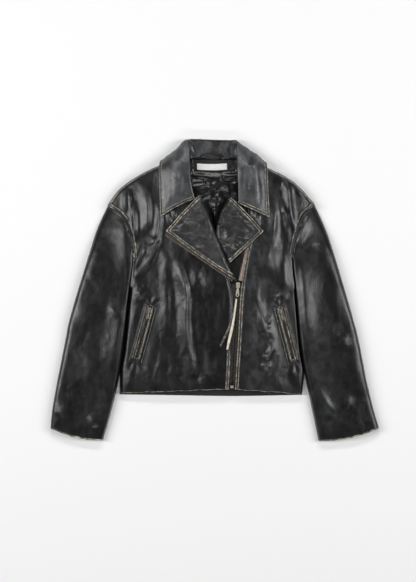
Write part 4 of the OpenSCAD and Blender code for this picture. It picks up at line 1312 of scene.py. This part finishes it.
def make_pocket(k):
    name = SIDE_NAME[k]
    place, _ = pocket_frame(k)
    half = WELT_IN + np.array([0, 0.4, 1.0, 2.0, 3.2, 4.4, 5.6, 6.6, 7.4, 7.9, 8.4, 9.2, 10.2, 11.2, WELT_W])
    x = np.concatenate([-half[::-1], [-1.5, 1.5], half])
    ends = np.array([0, 0.6, 1.4, 2.4, 3.4])
    y = np.concatenate([3 - ends, np.linspace(-1.6, -POCKET_L + 1.6, 70), -POCKET_L - 3 + ends[::-1]])[::-1]
    xx, yy = np.meshgrid(x, y)
    over = np.abs(xx) - WELT_IN
    end = np.minimum(3 - yy, yy + POCKET_L + 3)
    padded = np.sqrt(np.clip(1 - ((over - 4.1) / 4.2) ** 2, 0, 1)) * smooth(end, 1.5, 5)
    lump = 1 + 0.3 * fbm(xx / 7, yy / 8, 181 + k, 2)
    outer_edge = smooth(over, 8.8, 9.8) * (1 - smooth(over, 10.2, WELT_W))
    z = 0.55 + 2.0 * padded * lump - 0.3 * bell(over, 8.6, 0.6) + 0.35 * outer_edge
    z = z + 0.5 * (np.abs(xx) <= WELT_IN) * smooth(end, 0, 2)
    lower_end = 1 - smooth(yy, -POCKET_L, -POCKET_L + 5)
    z = z - 1.2 * (1 - smooth(np.abs(xx), WELT_IN + 0.8, WELT_IN + 3)) * lower_end
    grid = place(np.dstack([xx, yy, z]))
    centre_x, centre_y = (xx[:-1, :-1] + xx[1:, 1:]) / 2, (yy[:-1, :-1] + yy[1:, 1:]) / 2
    keep = ~((np.abs(centre_x) < WELT_IN) & (centre_y < -0.4) & (centre_y > -POCKET_L + 0.4))
    d = np.minimum(np.abs(over - 0.7), np.abs(over - 8.9) + 0.3) + 0.25 + 2.0 * (1 - smooth(end, 1.0, 5.0))
    tack = np.hypot(xx * 0.35, end - 1.4) + 0.3
    d = np.minimum(d, tack)
    rows = [place([[s * (WELT_IN + 8.9), q, 0.75] for q in np.linspace(0, -POCKET_L, 60)]) for s in (-1, 1)]
    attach(stitches(f"pocket_stitches_{name}", rows, pitch=3.6, length=2.6), "root")
    welt = shell(f"pocket_welt_{name}", grid, 1.1, seam=d, keep=keep, side=k)
    fit(welt, LEATHER, "leather", f"pocket_welts_{name}")
    tape = straight_tapes(f"pocket_tape_{name}", place, -2, POCKET_L - 8, 4, 0.0)
    fit(tape, TAPE, "zip_tape", f"pocket_tapes_{name}")
    u, v = np.meshgrid(np.linspace(-1, 1, 24), np.linspace(-1, 1, 40))
    round_u = u * np.sqrt(1 - 0.42 * v**2)
    round_v = v * np.sqrt(1 - 0.42 * u**2)
    depth = -6.9 + 0.25 * fbm(u * 3, v * 5, 191, 2)
    bag = np.dstack([20 + 40 * round_u + 8 * round_v, -POCKET_L / 2 + 78 * round_v, depth])
    pouch = shell(f"pocket_pouch_{name}", place(bag), 1.5, side=k)
    fit(pouch, SATIN, "lining", f"pocket_bag_{name}")


def finish_metal():
    """Brass and a small bevel on the CAD solids that are metal."""
    for name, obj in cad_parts.items():
        if not any(word in name for word in ("teeth", "stop", "slider", "pull")):
            continue
        obj.data.materials.clear()
        obj.data.materials.append(TEETH if "teeth" in name else DULL_BRASS if "pocket" in name else BRASS)
        bevel = obj.modifiers.new("bevel", "BEVEL")
        bevel.width = 0.0003
        bevel.segments = 2
        bevel.limit_method = "ANGLE"


# ---------------------------------------------------------------- building everything

make_back()
make_back_lining()
make_back_hem_facing()
for half in (RIGHT, LEFT):
    make_front(half)
    make_inner_front(
        f"lining_front_{SIDE_NAME[half]}", half, np.linspace(0.1, 0.88, 40), np.linspace(0.12, 0.86, 60),
        9, 0.5, SATIN, "lining", f"front_lining_{SIDE_NAME[half]}", 1.0,
    )
    make_inner_front(
        f"hem_facing_{SIDE_NAME[half]}_leather", half,
        np.linspace(0.1, 0.93, 60), np.linspace(0.002, 0.06, 10),
        2.2, 0.9, FACING, "leather_facing", f"hem_facing_{SIDE_NAME[half]}", 0.1,
    )
    make_armhole_seam(half)
    make_lapel(half)
    make_sleeve(half)
    make_pocket(half)
make_underlap()
make_collar()
make_stand()
make_neck()
make_main_zip()
lapel_edge = at_share(np.array([LAPEL_B[RIGHT], LAPEL_T[RIGHT]], float), np.linspace(0.03, 0.995, 80))
make_open_zip("lapel_zip", lapel_edge, [-0.57, -0.82], 2.8, 0.4, 6.6, "lapel_right", DUSTY_TAPE, PALE_TEETH)
chest_line = real(LEFT, even(CHEST_ZIP, 60))
make_open_zip("chest_zip", chest_line, [-1, 0], -TAPE_Z, -2.5, 6.5, "root", WORN_TAPE, TEETH)
finish_metal()

# ---------------------------------------------------------------- floor, lights and world


def make_stage():
    corners = [(6000 * i, 6000 * j, -0.4) for i, j in ((-1, -1), (1, -1), (1, 1), (-1, 1))]
    floor = new_object("floor", corners, [(0, 1, 2, 3)], smooth_faces=False)
    paper = Look("floor_paper")
    paper.fill(paper.shader, {"Base Color": rgb(0.9, 0.9, 0.9), "Roughness": 0.9})
    floor.data.materials.append(paper.mat)


def soft_light(name, place, width, height, power):
    """Rectangular light aimed at the middle of the jacket."""
    data = bpy.data.lights.new(name, "AREA")
    data.shape = "RECTANGLE"
    data.size, data.size_y = width, height
    data.energy = power
    obj = add_object(name, data)
    obj.location = place
    obj.rotation_euler = (-Vector(place)).to_track_quat("-Z", "Y").to_euler()


make_stage()
soft_light("light_top", (0.0, 2.5, 2.5), 2.4, 0.5, 40)
soft_light("light_bottom", (0.0, -2.5, 2.5), 2.2, 0.5, 21)
soft_light("light_left", (-2.3, 0.2, 2.4), 0.45, 2.2, 61)
soft_light("light_right", (2.3, 0.2, 2.4), 0.45, 2.2, 55)
world = bpy.data.worlds.new("studio")
world.use_nodes = True
sky = world.node_tree.nodes["Background"]
sky.inputs["Color"].default_value = rgb(1, 1, 1)
sky.inputs["Strength"].default_value = 0.03
bpy.context.scene.world = world
bpy.context.scene.view_settings.view_transform = "Standard"
